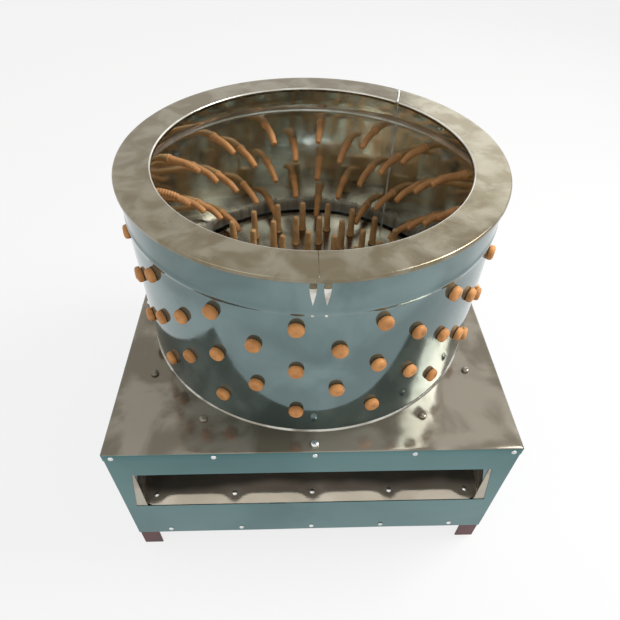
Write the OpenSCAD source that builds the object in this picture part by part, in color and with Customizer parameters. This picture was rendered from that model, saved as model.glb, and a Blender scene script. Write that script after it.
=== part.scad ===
// Drum poultry plucker on a square housing.
// The drum axis is the Z axis, the legs stand on Z = 0 and the feather outlet faces -Y.

/* [Housing] */
// Width of the housing over its side skirts
base_w = 664; // [650:1:760]
// Depth of the housing over its front and rear skirts
base_d = 680; // [660:1:780]
// Height from the panels' lower edge to the top plate
base_h = 288; // [280:1:340]
// How far the legs stand out below the panels
leg_drop = 50; // [20:1:120]
// Thickness of the panel sheet
panel_t = 1.5; // [0.8:0.1:2.5]
// Thickness of the top plate sheet
top_t = 2; // [1:0.1:3]
// Depth of the top plate's folded skirt
skirt_h = 16; // [14:0.5:24]

/* [Frame] */
// Width of the leg angle's flanges
leg_w = 35; // [32:1:40]
// Thickness of the leg angle
leg_t = 4; // [3:0.5:6]
// Width of the rail angle's flanges
rail_w = 30; // [26:1:32]
// Thickness of the rail angle
rail_t = 3; // [2:0.5:4]
// Width of the flat corner braces
brace_w = 32; // [24:1:36]
// Thickness of the flat corner braces
brace_t = 4; // [3:0.5:6]
// Distance of each corner brace's middle line from the drum axis
brace_r = 322; // [318:1:330]
// Clear width between the two drive beams
beam_gap = 100; // [92:1:110]

/* [Chute] */
// Height of the outlet's lower edge above the panels' lower edge
slot_low = 111; // [100:1:125]
// Height of the outlet
slot_h = 111; // [80:1:120]
// Width of the outlet along its upper edge
slot_top_w = 594; // [560:1:598]
// Width of the outlet along its lower edge
slot_low_w = 624; // [600:1:628]
// Thickness of the chute sheet
chute_t = 1.5; // [1:0.1:3]
// Clear width between the chute's side plates
chute_w = 604; // [600:1:612]
// Lean of the side plates' front edges from upright
chute_rake = 33; // [10:1:40]
// Width of the lips turned out along the side plates' front edges
lip_w = 7; // [4:0.5:9]
// Drop from the rear top rail to the chute's rear edge
chute_rear_drop = 9; // [7:1:30]
// Number of rivets in the chute floor
chute_rivets_n = 5; // [3:1:7]

/* [Drum] */
// Outer radius of the drum wall
drum_r = 300; // [290:1:304]
// Height from the top plate to the rim's upper face
drum_h = 328; // [315:1:420]
// Thickness of the drum wall sheet
drum_t = 1.5; // [1:0.1:3]
// Width of the drum wall's foot turned in on the top plate
foot_w = 4; // [3:0.5:6]
// Height of the bead above the top plate
bead_z = 268; // [262:1:285]
// Radius of the bead's round
bead_r = 4; // [2:0.5:6]
// Inner radius of the rim
rim_in_r = 250; // [240:1:270]
// How far the rim stands out past the drum wall
rim_over = 5.3; // [4:0.1:8]
// Thickness of the rim sheet
rim_t = 2; // [1:0.1:3]
// Depth of the rim's turned-down edges
rim_lip = 7; // [4:0.5:12]
// Width of the cover strip over the wall's seam
seam_w = 22; // [16:1:26]
// Thickness of the cover strip
seam_t = 1.2; // [0.8:0.1:2]

/* [Wall fingers] */
// Height of the first finger row above the top plate
row_1 = 238; // [234:1:242]
// Height of the second finger row
row_2 = 196; // [192:1:200]
// Height of the third finger row
row_3 = 153; // [149:1:157]
// Height of the fourth finger row
row_4 = 110; // [106:1:114]
// Height of the fifth finger row
row_5 = 57; // [55:1:62]
// Number of three-finger columns, with as many two-finger columns between them
columns = 16; // [12:1:16]
// Reach of a finger inside the drum wall
finger_reach = 70; // [66:1:74]
// Droop of a finger's outer half
finger_droop = 26; // [10:1:30]

/* [Fingers] */
// Diameter of the finger head
head_d = 23; // [21:0.5:26]
// Height of the finger head
head_h = 9; // [7:0.5:12]
// Diameter of the finger's neck in its hole
neck_d = 13.6; // [12:0.1:15]
// Radial clearance of the neck in its hole
neck_gap = 0.2; // [0.1:0.05:0.4]
// Diameter of the finger's collar
collar_d = 18; // [17:0.5:21]
// Diameter of the shank behind the collar
root_d = 14; // [13:0.5:15]
// Diameter of the shank at its bend
mid_d = 12.8; // [11.5:0.1:13.5]
// Diameter of the finger's tip
tip_d = 11.5; // [9.5:0.5:12.5]

/* [Feather plate] */
// Gap between the feather plate and the drum wall
feather_gap = 20; // [12:1:24]
// Height of the feather plate's upper face above the top plate
plate_rise = 28; // [26:1:32]
// Thickness of the feather plate
plate_t = 3; // [2:0.5:4]
// Height of an upright finger above the plate
upright_h = 68; // [60:1:72]
// Radius of the outer finger ring
ring_1_r = 212; // [206:1:214]
// Number of fingers in the outer ring
ring_1_n = 24; // [16:1:26]
// Radius of the second finger ring
ring_2_r = 160; // [152:1:166]
// Number of fingers in the second ring
ring_2_n = 20; // [12:1:20]
// Radius of the third finger ring
ring_3_r = 106; // [102:1:112]
// Number of fingers in the third ring
ring_3_n = 12; // [8:1:14]
// Number of sweep blades under the plate
blades_n = 4; // [2:1:6]
// Height of a sweep blade
blade_h = 26; // [16:1:28]

/* [Shaft and bearings] */
// Diameter of the shaft in its bearings
shaft_d = 30; // [28:1:32]
// Diameter of the shaft in the pulley
shaft_low_d = 25; // [22:1:26]
// Diameter of the shaft's threaded top
thread_d = 20; // [16:1:22]
// Outer diameter of the bearings
bearing_od = 62; // [60:1:66]
// Width of a bearing
bearing_w = 16; // [14:1:18]
// Number of balls in a bearing
balls_n = 9; // [7:1:10]
// Wall of the bearing housing's tube
tube_wall = 7; // [5:0.5:9]
// Side of the bearing housing's square flange
flange_w = 150; // [146:1:160]
// Thickness of the bearing housing's flange
flange_t = 8; // [6:0.5:12]
// Radius of the hub's flange
hub_r = 62; // [58:1:66]
// Number of hub bolts
hub_bolts_n = 6; // [4:1:8]

/* [Belt drive] */
// Pitch radius of the driven pulley
pulley_r = 120; // [100:1:130]
// Pitch radius of the motor pulley
motor_pulley_r = 30; // [27:1:40]
// Distance from the drum axis to the motor axis
motor_y = 235; // [228:1:245]
// Width of the pulleys' rims
pulley_w = 24; // [22:1:26]
// Height of the belt section
belt_h = 8; // [7:0.5:9]
// Width of the belt section at its pitch line
belt_w = 11; // [9:0.5:12]

/* [Motor] */
// Radius of the motor over its fins
motor_r = 66; // [63:1:68]
// Length of the motor casing
casing_h = 108; // [100:1:112]
// Number of cooling fins
fins_n = 28; // [16:1:36]
// Diameter of the motor shaft
motor_shaft_d = 19; // [16:1:22]
// Thickness of the motor plate
motor_plate_t = 6; // [5:0.5:8]

/* [Switch] */
// Height of the switch station's middle above the panels' lower edge
switch_z = 110; // [90:1:115]
// Width of the switch bezel
switch_w = 60; // [54:1:70]
// Height of the switch bezel
switch_h = 96; // [90:1:110]
// Diameter of the push buttons
button_d = 26; // [20:1:28]
// Travel of the push buttons
button_travel = 4; // [2:0.5:5]

/* [Fasteners] */
// Diameter of a rivet's domed head
rivet_d = 9; // [7:0.5:10]
// Diameter of a rivet's or screw's shank
shank_d = 4; // [3:0.5:5]
// Diameter of the frame and drive bolts
bolt_d = 8; // [6:1:10]

/* [Hidden] */
$fn = 64;
eps = 0.5;

// Clearances: seated fits, running fits and free gaps between moving pieces
seat_gap = 0.02;
run_gap = 0.06;
free_gap = 0.35;

// Levels
z_low = leg_drop;
z_top = leg_drop + base_h;
z_deck = z_top - top_t;
z_rim = z_top + drum_h;
z_slot = z_low + slot_low;
z_beam = z_low + 2 * rail_w;
z_plate = z_top + plate_rise;
z_under = z_plate - plate_t;

// Housing plan
half_w = base_w / 2;
half_d = base_d / 2;
face_w = half_w - top_t;
face_d = half_d - top_t;
in_w = face_w - panel_t;
in_d = face_d - panel_t;

// Rivets and bolts
rivet_h = 2.6;
skirt_n = 5;
skirt_rivet_z = z_top - skirt_h / 2;
skirt_end = 16;
lower_rivet_z = z_low + rail_w / 2;
lower_past_leg = 30;
lower_end = leg_w + lower_past_leg;
bolt_head_d = 1.7 * bolt_d;
bolt_head_h = 0.6 * bolt_d;
bolt_edge = 15;
rail_bolt_in = 0.4 * rail_w;
washer_t = 3;
brace_bolt_gap = 29;
brace_bolt_least = 40;

// Drum
drum_in_r = drum_r - drum_t;
opening_r = drum_in_r - foot_w;
rim_out_r = drum_r + rim_over;
rim_joint_front = -90.5;
rim_joint_out = 55;
rim_joint_in = 49.5;
joint_gap = 0.3;
column_step = 360 / columns;
column_first = -90 - column_step / 4;
seam_angle = column_first + 13.5 * column_step / 2;

// Chute: the floor runs from behind the outlet's lower edge up to the rear top rail
chute_y0 = leg_t + free_gap - in_d;
chute_y1 = in_d - leg_t - free_gap;
chute_z1 = z_deck - rail_t - chute_rear_drop;
chute_slope = atan((chute_z1 - z_slot) / (chute_y1 - chute_y0));
chute_len = (chute_y1 - chute_y0) / cos(chute_slope);
slot_land = 14;
slot_low_half = min(slot_low_w / 2, face_w - slot_land);
slot_top_half = min(slot_top_w / 2, slot_low_half);
chute_in = min(chute_w / 2, in_w - slot_land);
chute_half = chute_in + chute_t;
chute_apron = leg_t / cos(chute_slope) - chute_t * tan(chute_slope);
chute_bar_t = 4;
chute_bar_gap = 2;
chute_rivet_back = rail_w / 2;
chute_rivet_edge = 22;
function chute_z(y) = z_slot + (y - chute_y0) * tan(chute_slope);

// Fingers
hole_d = neck_d + 2 * neck_gap;
collar_h = 4;
finger_straight = 0.45 * finger_reach;
finger_tip = 0.15 * finger_reach;
finger_arc = finger_reach - collar_h - finger_straight - finger_tip;
finger_lap = 2;
finger_step = 0.3;
bend_r = (finger_arc + finger_lap) / (finger_droop * PI / 180);

// Feather plate
plate_r = drum_in_r - feather_gap;
ring_1_turn = 2.5;
ring_2_turn = 9;
ring_3_turn = 0;
hub_bolt_r = 48;
blade_len = 70;
blade_t = 3;
blade_edge = 4;

// Shaft and bearings
tube_in_r = bearing_od / 2 + seat_gap;
tube_r = tube_in_r + tube_wall;
hub_boss_h = 34;
hub_flange_h = 8;
hub_foot_wall = 6;
hub_top_wall = 10;
z_hub = z_under - hub_flange_h - hub_boss_h;
collar_step = 5;
collar_shaft_d = shaft_d + 2 * collar_step;
collar_shaft_h = 8;
z_collar = z_hub - collar_shaft_h;
seal_h = 6;
tube_gap = 2;
z_tube = z_collar - tube_gap;
z_bearing_up = z_tube - seal_h - bearing_w;
bearing_lift = 2;
z_bearing_low = z_beam + bearing_lift;
bearing_shoulder = 4;
ball_pitch_r = (bearing_od + shaft_d) / 4;
ball_r = 0.28 * (bearing_od - shaft_d) / 2;
race_gap = 0.3 * ball_r;
flange_bolt_x = beam_gap / 2 + rail_w * 0.42;
flange_bolt_edge = 16;
flange_bolt_y = flange_w / 2 - flange_bolt_edge;
nut_d = 2.2 * thread_d;
nut_h = 0.8 * thread_d;
nut_flange = 4;

// Belt drive
belt_under = 4;
belt_z = z_beam - rail_w - belt_under - pulley_w / 2;
groove_angle = 18;
groove_deep = 3;
wall_over = 2;
belt_lean = asin((pulley_r - motor_pulley_r) / motor_y);
belt_wrap = 180 + 2 * belt_lean;
belt_step = 5;
pulley_hub_wall = 14;
pulley_hub_r = shaft_low_d / 2 + pulley_hub_wall;
pulley_hub_drop = 10;
z_pulley_hub = z_beam - pulley_hub_drop;
pulley_rim_t = 8;
pulley_web = 8;
z_shaft_end = belt_z - pulley_w / 2;

// Motor, standing on its plate with the shaft down
z_motor = z_beam + motor_plate_t;
shield_h = 12;
z_casing = z_motor + shield_h;
z_casing_top = z_casing + casing_h;
rear_shield_h = 9;
z_rear_shield = z_casing_top + rear_shield_h;
casing_wall = 10;
casing_in_r = motor_r - casing_wall;
motor_hub_wall = 6;
motor_hub_past = 6;
fin_deep = 6;
stator_w = 18;
air_gap = 0.6;
core_r = casing_in_r - stator_w - air_gap;
core_h = 62;
fan_gap = 6;
fan_r = casing_in_r - fan_gap;
fan_h = 12;
fan_lift = 4;
fan_t = 2;
shaft_past_fan = 6;
cover_h = 32;
cover_t = 1.5;
vents_out_n = 10;
vents_out_d = 14;
vents_in_n = 5;
vents_in_d = 12;
cover_in_r = motor_r - fin_deep + 1;
motor_plate_w = 190;
motor_plate_d = 176;
motor_bolt_edge = 14;
motor_bolt_y = motor_plate_d / 2 - motor_bolt_edge;
shield_bolt_in = 10;
shield_bolt_r = motor_r - shield_bolt_in;
box_w = 46;
box_d = 56;
box_h = 60;
z_box = z_casing + 10;
gland_r = 10;
gland_nut_h = 8;
gland_cone_h = 14;
gland_bore_h = 20;

// Switch station in the right panel
switch_mid = z_low + switch_z;
switch_deep = 42;
bezel_t = 1.6;
switch_wall = 3;
button_gap = 12;
button_step = button_d + button_gap;
button_stem_d = 14;
button_cap_h = 9;
z_start = switch_mid + button_step / 2;
z_stop = switch_mid - button_step / 2;

// A rivet: its dome stands on Z = 0 and its shank runs down through the sheets
module rivet(grip) {
    dome_r = (pow(rivet_d / 2, 2) + pow(rivet_h, 2)) / (2 * rivet_h);
    intersection() {
        translate([0, 0, rivet_h - dome_r]) sphere(r = dome_r);
        cylinder(d = rivet_d + 1, h = rivet_h + 1);
    }
    translate([0, 0, -grip]) cylinder(d = shank_d, h = grip);
}

// A bolt: its domed head stands on Z = 0, with a nut under what it clamps
module bolt(grip, nut = true) {
    rotate_extrude() polygon([[0, 0], [bolt_head_d / 2, 0], [bolt_head_d / 2, bolt_head_h * 0.5],
        [bolt_head_d * 0.32, bolt_head_h], [0, bolt_head_h]]);
    translate([0, 0, -grip]) cylinder(d = bolt_d, h = grip);
    if (nut) translate([0, 0, -grip - bolt_d * 0.8]) cylinder(d = bolt_head_d, h = bolt_d * 0.8, $fn = 6);
}

// Places children on each of the four outer faces, with Z pointing outwards
module on_faces(dx, dy, z, n, end) {
    for (side = [-1, 1]) {
        for (i = [0 : n - 1]) {
            along_x = (2 * i / (n - 1) - 1) * (half_w - end);
            along_y = (2 * i / (n - 1) - 1) * (half_d - end);
            translate([along_x, side * dy, z]) rotate([-side * 90, 0, 0]) children();
            translate([side * dx, along_y, z]) rotate([0, side * 90, 0]) children();
        }
    }
}

module at_skirt_rivets() { on_faces(half_w, half_d, skirt_rivet_z, skirt_n, skirt_end) children(); }

module at_lower_rivets() { on_faces(face_w, face_d, lower_rivet_z, skirt_n, lower_end) children(); }

module at_rail_bolts() {
    for (side = [-1, 1]) {
        translate([0, side * (in_d - rail_bolt_in), z_top]) children();
        translate([side * (in_w - rail_bolt_in), 0, z_top]) children();
    }
}

// A brace bolt's long coordinate: clear of the drum wall, and inside the rail whose outer face is given
function brace_bolt_at(rail_face) = let (aside = pow(drum_r + brace_bolt_gap, 2) - pow(brace_r, 2),
    along = sqrt(max(aside, pow(brace_bolt_least, 2))))
    min((brace_r + along) / sqrt(2), rail_face - rail_w - bolt_edge);

module at_brace_bolts() {
    brace_sum = brace_r * sqrt(2);
    long_x = brace_bolt_at(in_w);
    long_y = brace_bolt_at(in_d);
    for (sx = [-1, 1], sy = [-1, 1]) {
        translate([sx * long_x, sy * (brace_sum - long_x), z_top]) children();
        translate([sx * (brace_sum - long_y), sy * long_y, z_top]) children();
    }
}

module at_columns(offset) {
    for (i = [0 : columns - 1]) rotate([0, 0, column_first + offset + i * column_step]) children();
}

module at_ring(r, n, turn) {
    for (i = [0 : n - 1]) rotate([0, 0, turn + i * 360 / n]) translate([r, 0, 0]) children();
}

module top_plate() {
    color("darkkhaki") difference() {
        translate([-half_w, -half_d, z_top - skirt_h]) cube([base_w, base_d, skirt_h]);
        translate([-face_w, -face_d, z_top - skirt_h - 1])
            cube([2 * face_w, 2 * face_d, skirt_h - top_t + 1]);
        translate([0, 0, z_deck - 1]) cylinder(r = opening_r, h = top_t + 2);
        at_skirt_rivets() translate([0, 0, -top_t - eps]) cylinder(d = shank_d, h = top_t + 2 * eps);
        at_rail_bolts() translate([0, 0, -top_t - eps]) cylinder(d = bolt_d, h = top_t + 2 * eps);
        at_brace_bolts() translate([0, 0, -top_t - eps]) cylinder(d = bolt_d, h = top_t + 2 * eps);
    }
}

// Holes through the panels for both rows of rivets
module panel_holes() {
    at_skirt_rivets() translate([0, 0, -top_t - panel_t - eps])
        cylinder(d = shank_d, h = panel_t + 2 * eps);
    at_lower_rivets() translate([0, 0, -panel_t - eps]) cylinder(d = shank_d, h = panel_t + 2 * eps);
}

module wide_panel(side) {
    y0 = side > 0 ? in_d : -face_d;
    translate([-face_w, y0, z_low]) cube([2 * face_w, panel_t, z_deck - z_low]);
}

module long_panel(side) {
    x0 = side > 0 ? in_w : -face_w;
    translate([x0, -in_d, z_low]) cube([panel_t, 2 * in_d, z_deck - z_low]);
}

module front_panel() {
    z_slot_top = z_slot + slot_h;
    color("cadetblue") difference() {
        wide_panel(-1);
        panel_holes();
        rotate([90, 0, 0]) translate([0, 0, in_d - eps]) linear_extrude(panel_t + 2 * eps)
            polygon([[-slot_low_half, z_slot], [slot_low_half, z_slot],
                [slot_top_half, z_slot_top], [-slot_top_half, z_slot_top]]);
    }
}

module rear_panel() {
    color("cadetblue") difference() {
        wide_panel(1);
        panel_holes();
    }
}

module left_panel() {
    color("cadetblue") difference() {
        long_panel(-1);
        panel_holes();
    }
}

module right_panel() {
    color("cadetblue") difference() {
        long_panel(1);
        panel_holes();
        translate([in_w - eps, 0, switch_mid]) switch_cutout(panel_t + 2 * eps);
    }
}

// The panel cutout that the switch station's box passes through
module switch_cutout(deep) {
    cut_w = switch_w - 4 * switch_wall;
    cut_h = switch_h - 4 * switch_wall;
    translate([0, -cut_w / 2, -cut_h / 2]) cube([deep, cut_w, cut_h]);
}

module frame_legs() {
    color("maroon") for (mx = [0, 1], my = [0, 1]) {
        mirror([mx, 0, 0]) mirror([0, my, 0]) linear_extrude(z_deck - rail_t) polygon([[in_w, in_d],
            [in_w - leg_w, in_d], [in_w - leg_w, in_d - leg_t], [in_w - leg_t, in_d - leg_t],
            [in_w - leg_t, in_d - leg_w], [in_w, in_d - leg_w]]);
    }
}

// One angle rail: its outer face at X = 0 and its flat flange at the top or the bottom
module rail(length, z0, flange_up) {
    flange_z = flange_up ? z0 + rail_w - rail_t : z0;
    translate([-rail_t, -length / 2, z0]) cube([rail_t, length, rail_w]);
    translate([-rail_w, -length / 2, flange_z]) cube([rail_w, length, rail_t]);
}

module rail_ring(z0, flange_up) {
    for (turn = [0, 180]) {
        rotate([0, 0, turn]) translate([in_w, 0, 0]) rail(2 * (in_d - leg_w), z0, flange_up);
        rotate([0, 0, turn + 90]) translate([in_d, 0, 0]) rail(2 * (in_w - leg_w), z0, flange_up);
    }
}

module frame_top_rails() {
    color("maroon") difference() {
        rail_ring(z_deck - rail_w, true);
        at_rail_bolts() translate([0, 0, -top_t - rail_t - eps]) cylinder(d = bolt_d, h = rail_t + eps);
    }
}

module frame_bottom_rails() {
    color("maroon") difference() {
        rail_ring(z_low, false);
        at_lower_rivets() translate([0, 0, -panel_t - rail_t - eps])
            cylinder(d = shank_d, h = rail_t + eps);
    }
}

module frame_corner_braces() {
    color("maroon") difference() {
        for (turn = [45 : 90 : 315]) intersection() {
            rotate([0, 0, turn]) translate([brace_r - brace_w / 2, -half_w, z_deck - brace_t])
                cube([brace_w, base_w, brace_t]);
            translate([rail_w - in_w, rail_w - in_d, z_deck - brace_t])
                cube([2 * (in_w - rail_w), 2 * (in_d - rail_w), brace_t]);
        }
        at_brace_bolts() translate([0, 0, -top_t - brace_t - eps]) cylinder(d = bolt_d, h = brace_t + eps);
    }
}

// Children are placed in the chute floor's plane: X across, Y up the slope, Z = 0 on its upper face
module on_chute() { translate([0, chute_y0, z_slot]) rotate([chute_slope, 0, 0]) children(); }

module at_chute_rivets() {
    for (i = [0 : chute_rivets_n - 1]) {
        across = (2 * i / (chute_rivets_n - 1) - 1) * (chute_in - chute_rivet_edge);
        on_chute() translate([across, chute_rivet_back, 0]) children();
    }
}

module chute_bars() {
    bar_half = in_w - leg_t;
    color("maroon") difference() {
        for (along = [chute_bar_gap, chute_len - rail_w]) on_chute()
            translate([-bar_half, along, -chute_t - chute_bar_t])
                cube([2 * bar_half, rail_w - 2 * chute_bar_gap, chute_bar_t]);
        at_chute_rivets() translate([0, 0, -chute_t - chute_bar_t - eps])
            cylinder(d = shank_d, h = chute_bar_t + 2 * eps);
    }
}

module drive_beams() {
    color("maroon") difference() {
        for (turn = [0, 180]) rotate([0, 0, turn]) translate([beam_gap / 2 + rail_w, 0, 0])
            rail(2 * in_d, z_beam - rail_w, true);
        at_flange_bolts() translate([0, 0, -flange_t - rail_t - eps])
            cylinder(d = bolt_d, h = rail_t + eps);
        at_plate_bolts() translate([0, 0, -motor_plate_t - rail_t - eps])
            cylinder(d = bolt_d, h = rail_t + eps);
    }
}

// The floor reaches forwards between the legs, up to the front panel
module chute_floor() {
    tube_hole_r = tube_r + free_gap;
    apron_half = in_w - leg_w - free_gap;
    color("tan") difference() {
        on_chute() translate([0, 0, -chute_t]) union() {
            translate([-chute_half, 0, 0]) cube([2 * chute_half, chute_len, chute_t]);
            translate([-apron_half, -chute_apron, 0]) cube([2 * apron_half, chute_apron + eps, chute_t]);
        }
        translate([0, 0, chute_z(-tube_hole_r) - 4 * chute_t])
            cylinder(r = tube_hole_r, h = 2 * tube_hole_r);
        at_chute_rivets() translate([0, 0, -chute_t - eps]) cylinder(d = shank_d, h = chute_t + 2 * eps);
    }
}

module chute_sides() {
    z_side = z_deck - rail_t;
    y_rake = chute_y0 + (z_side - z_slot) * tan(chute_rake);
    lip_len = (z_side - z_slot) / cos(chute_rake) - 4 * chute_t;
    color("lightsteelblue") for (side = [0, 1]) mirror([side, 0, 0]) {
        translate([chute_in, 0, 0]) rotate([90, 0, 90]) linear_extrude(chute_t)
            polygon([[chute_y0, z_slot], [chute_y1, chute_z1], [chute_y1, z_side], [y_rake, z_side]]);
        translate([chute_in, chute_y0, z_slot]) rotate([-chute_rake, 0, 0])
            translate([0, 0, 2 * chute_t]) cube([lip_w, chute_t, lip_len]);
    }
}

module chute_rivets() {
    color("silver") at_chute_rivets() rivet(chute_t + chute_bar_t);
}

module skirt_rivets() {
    color("silver") at_skirt_rivets() rivet(top_t + panel_t);
}

module lower_rivets() {
    color("silver") at_lower_rivets() rivet(panel_t + rail_t);
}

module top_plate_bolts() {
    color("silver") {
        at_rail_bolts() bolt(top_t + rail_t);
        at_brace_bolts() bolt(top_t + brace_t);
    }
}

// The wall is a rolled sheet with an in-turned foot and a hollow bead pressed outwards
module drum_wall() {
    wall_h = drum_h - rim_t;
    color("lightslategray") difference() {
        union() {
            translate([0, 0, z_top]) rotate_extrude() translate([drum_in_r, 0]) square([drum_t, wall_h]);
            translate([0, 0, z_top]) rotate_extrude() translate([opening_r, 0])
                square([foot_w + eps, drum_t]);
            translate([0, 0, z_top + bead_z]) rotate_extrude() intersection() {
                translate([drum_in_r, 0]) circle(r = bead_r);
                translate([drum_in_r + drum_t / 2, -bead_r]) square([bead_r, 2 * bead_r]);
            }
        }
        translate([0, 0, z_top + bead_z]) rotate_extrude() translate([drum_in_r - drum_t / 2, 0])
            circle(r = bead_r - drum_t);
        for (z = [row_1, row_3, row_5]) at_columns(0) finger_hole(z);
        for (z = [row_2, row_4]) at_columns(column_step / 2) finger_hole(z);
    }
}

module finger_hole(z) {
    translate([drum_r - 3 * drum_t, 0, z_top + z]) rotate([0, 90, 0])
        cylinder(d = hole_d, h = 5 * drum_t);
}

module drum_seam_strip() {
    seam_turn = seam_w / drum_in_r * 180 / PI;
    strip_h = bead_z - bead_r - 2 - drum_t;
    color("lightslategray") rotate([0, 0, seam_angle - seam_turn / 2]) translate([0, 0, z_top + drum_t])
        rotate_extrude(angle = seam_turn) translate([drum_in_r - seam_t - free_gap, 0])
            square([seam_t, strip_h]);
}

// The rim's cross-section: a flat ring with both edges turned down
module rim_ring() {
    translate([0, 0, z_rim]) rotate_extrude() polygon([[rim_in_r, 0], [rim_out_r, 0],
        [rim_out_r, -rim_lip], [rim_out_r - rim_t, -rim_lip], [rim_out_r - rim_t, -rim_t],
        [rim_in_r + rim_t, -rim_t], [rim_in_r + rim_t, -rim_lip], [rim_in_r, -rim_lip]]);
}

function polar(r, a) = [r * cos(a), r * sin(a)];

// The side of the rim between the straight front joint and the skewed rear joint
module rim_side(shift) {
    reach = 2 * rim_out_r;
    p_out = polar(rim_out_r, rim_joint_out);
    p_in = polar(rim_in_r, rim_joint_in);
    along = (p_out - p_in) / norm(p_out - p_in);
    aside = [along[1], -along[0]] * shift;
    front = polar(reach, rim_joint_front);
    front_aside = polar(shift, rim_joint_front + 90);
    translate([0, 0, z_rim - 2 * rim_lip]) linear_extrude(3 * rim_lip) polygon([
        p_in - along * rim_in_r + aside, p_in + along * reach + aside, [2 * reach, reach],
        [2 * reach, -reach], front + front_aside, front_aside]);
}

module rim_right() {
    color("tan") intersection() {
        rim_ring();
        rim_side(joint_gap / 2);
    }
}

module rim_left() {
    color("tan") difference() {
        rim_ring();
        rim_side(-joint_gap / 2);
    }
}

// A moulded rubber finger's head, neck, collar and straight root, along X: the head's flat face is
// at X = 0 and the collar begins at X = -grip
module finger_root(grip) {
    root_end = -grip - collar_h - finger_straight;
    rotate([0, 90, 0]) rotate_extrude() polygon([[0, root_end], [mid_d / 2 + finger_step, root_end],
        [root_d / 2, -grip - collar_h], [collar_d / 2, -grip - collar_h], [collar_d / 2, -grip],
        [neck_d / 2, -grip], [neck_d / 2, 0], [head_d / 2, 0], [head_d / 2, head_h * 0.45],
        [head_d * 0.43, head_h * 0.76], [head_d * 0.27, head_h * 0.95], [0, head_h]]);
}

// A finger's outer half: a round bend downwards and a tapered tip, each begun inside the piece before it
module finger_end(grip) {
    translate([finger_lap - grip - collar_h - finger_straight, 0, -bend_r]) rotate([90, 0, 180]) {
        rotate([0, 0, 90 - finger_droop]) rotate_extrude(angle = finger_droop)
            translate([bend_r, 0]) circle(d = mid_d);
        rotate([0, 0, -finger_droop]) translate([-finger_lap / 2, bend_r, 0]) rotate([0, 90, 0])
            cylinder(d1 = mid_d - finger_step, d2 = tip_d, h = finger_tip + finger_lap / 2);
    }
}

module wall_finger(z) {
    grip = drum_t + free_gap + pow(collar_d / 2, 2) / (2 * drum_in_r);
    translate([drum_r, 0, z_top + z]) {
        finger_root(grip);
        finger_end(grip);
    }
}

module wall_fingers_row_1() { color("peru") at_columns(0) wall_finger(row_1); }

module wall_fingers_row_2() { color("peru") at_columns(column_step / 2) wall_finger(row_2); }

module wall_fingers_row_3() { color("peru") at_columns(0) wall_finger(row_3); }

module wall_fingers_row_4() { color("peru") at_columns(column_step / 2) wall_finger(row_4); }

module wall_fingers_row_5() { color("peru") at_columns(0) wall_finger(row_5); }

// An upright finger stands on the plate with its head under it
module upright_finger() {
    rotate_extrude() polygon([[0, z_under - head_h], [head_d / 2 - 2, z_under - head_h],
        [head_d / 2, z_under - head_h / 2], [head_d / 2, z_under], [neck_d / 2, z_under],
        [neck_d / 2, z_plate], [collar_d / 2, z_plate], [collar_d / 2, z_plate + collar_h],
        [root_d / 2, z_plate + collar_h], [tip_d / 2, z_plate + upright_h - 2],
        [tip_d / 2 - 2, z_plate + upright_h], [0, z_plate + upright_h]]);
}

module plate_fingers_outer() { color("peru") at_ring(ring_1_r, ring_1_n, ring_1_turn) upright_finger(); }

module plate_fingers_second() { color("peru") at_ring(ring_2_r, ring_2_n, ring_2_turn) upright_finger(); }

module plate_fingers_third() { color("peru") at_ring(ring_3_r, ring_3_n, ring_3_turn) upright_finger(); }

module plate_hole(d) { translate([0, 0, z_under - eps]) cylinder(d = d, h = plate_t + 2 * eps); }

module feather_plate() {
    color("rosybrown") difference() {
        translate([0, 0, z_under]) cylinder(r = plate_r, h = plate_t);
        plate_hole(thread_d + 2 * seat_gap);
        at_ring(ring_1_r, ring_1_n, ring_1_turn) plate_hole(hole_d);
        at_ring(ring_2_r, ring_2_n, ring_2_turn) plate_hole(hole_d);
        at_ring(ring_3_r, ring_3_n, ring_3_turn) plate_hole(hole_d);
        at_ring(hub_bolt_r, hub_bolts_n, 0) plate_hole(bolt_d);
    }
}

module plate_hub() {
    color("dimgray") difference() {
        translate([0, 0, z_hub]) rotate_extrude() polygon([[shaft_d / 2 + seat_gap, 0],
            [collar_shaft_d / 2 + hub_foot_wall, 0], [collar_shaft_d / 2 + hub_top_wall, hub_boss_h],
            [hub_r, hub_boss_h],
            [hub_r, hub_boss_h + hub_flange_h], [shaft_d / 2 + seat_gap, hub_boss_h + hub_flange_h]]);
        at_ring(hub_bolt_r, hub_bolts_n, 0) translate([0, 0, z_hub])
            cylinder(d = bolt_d, h = z_under - z_hub + 1);
    }
}

module hub_bolts() {
    color("silver") at_ring(hub_bolt_r, hub_bolts_n, 0) translate([0, 0, z_plate])
        bolt(plate_t + hub_flange_h);
}

// A flanged cap nut on the shaft's threaded top
module plate_nut() {
    color("silver") difference() {
        union() {
            translate([0, 0, z_plate]) cylinder(d = nut_d + 2 * nut_flange, h = washer_t);
            translate([0, 0, z_plate + washer_t]) cylinder(d = nut_d, h = nut_h, $fn = 6);
            translate([0, 0, z_plate + washer_t + nut_h])
                cylinder(d1 = nut_d * 0.86, d2 = thread_d * 0.7, h = nut_h * 0.6);
        }
        translate([0, 0, z_plate - eps]) cylinder(d = thread_d + 2 * seat_gap, h = nut_h + washer_t);
    }
}

// Angle strips under the plate's edge that push feathers towards the outlet
module sweep_blades() {
    blade_out = plate_r - blade_edge;
    foot_in = ring_1_r + head_d / 2 + blade_edge;
    color("silver") for (i = [0 : blades_n - 1]) rotate([0, 0, (i + 0.3) * 360 / blades_n]) {
        translate([blade_out - blade_len, 0, z_under - blade_h]) cube([blade_len, blade_t, blade_h]);
        translate([foot_in, 0, z_under - blade_t]) cube([blade_out - foot_in, blade_h * 0.7, blade_t]);
    }
}

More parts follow.
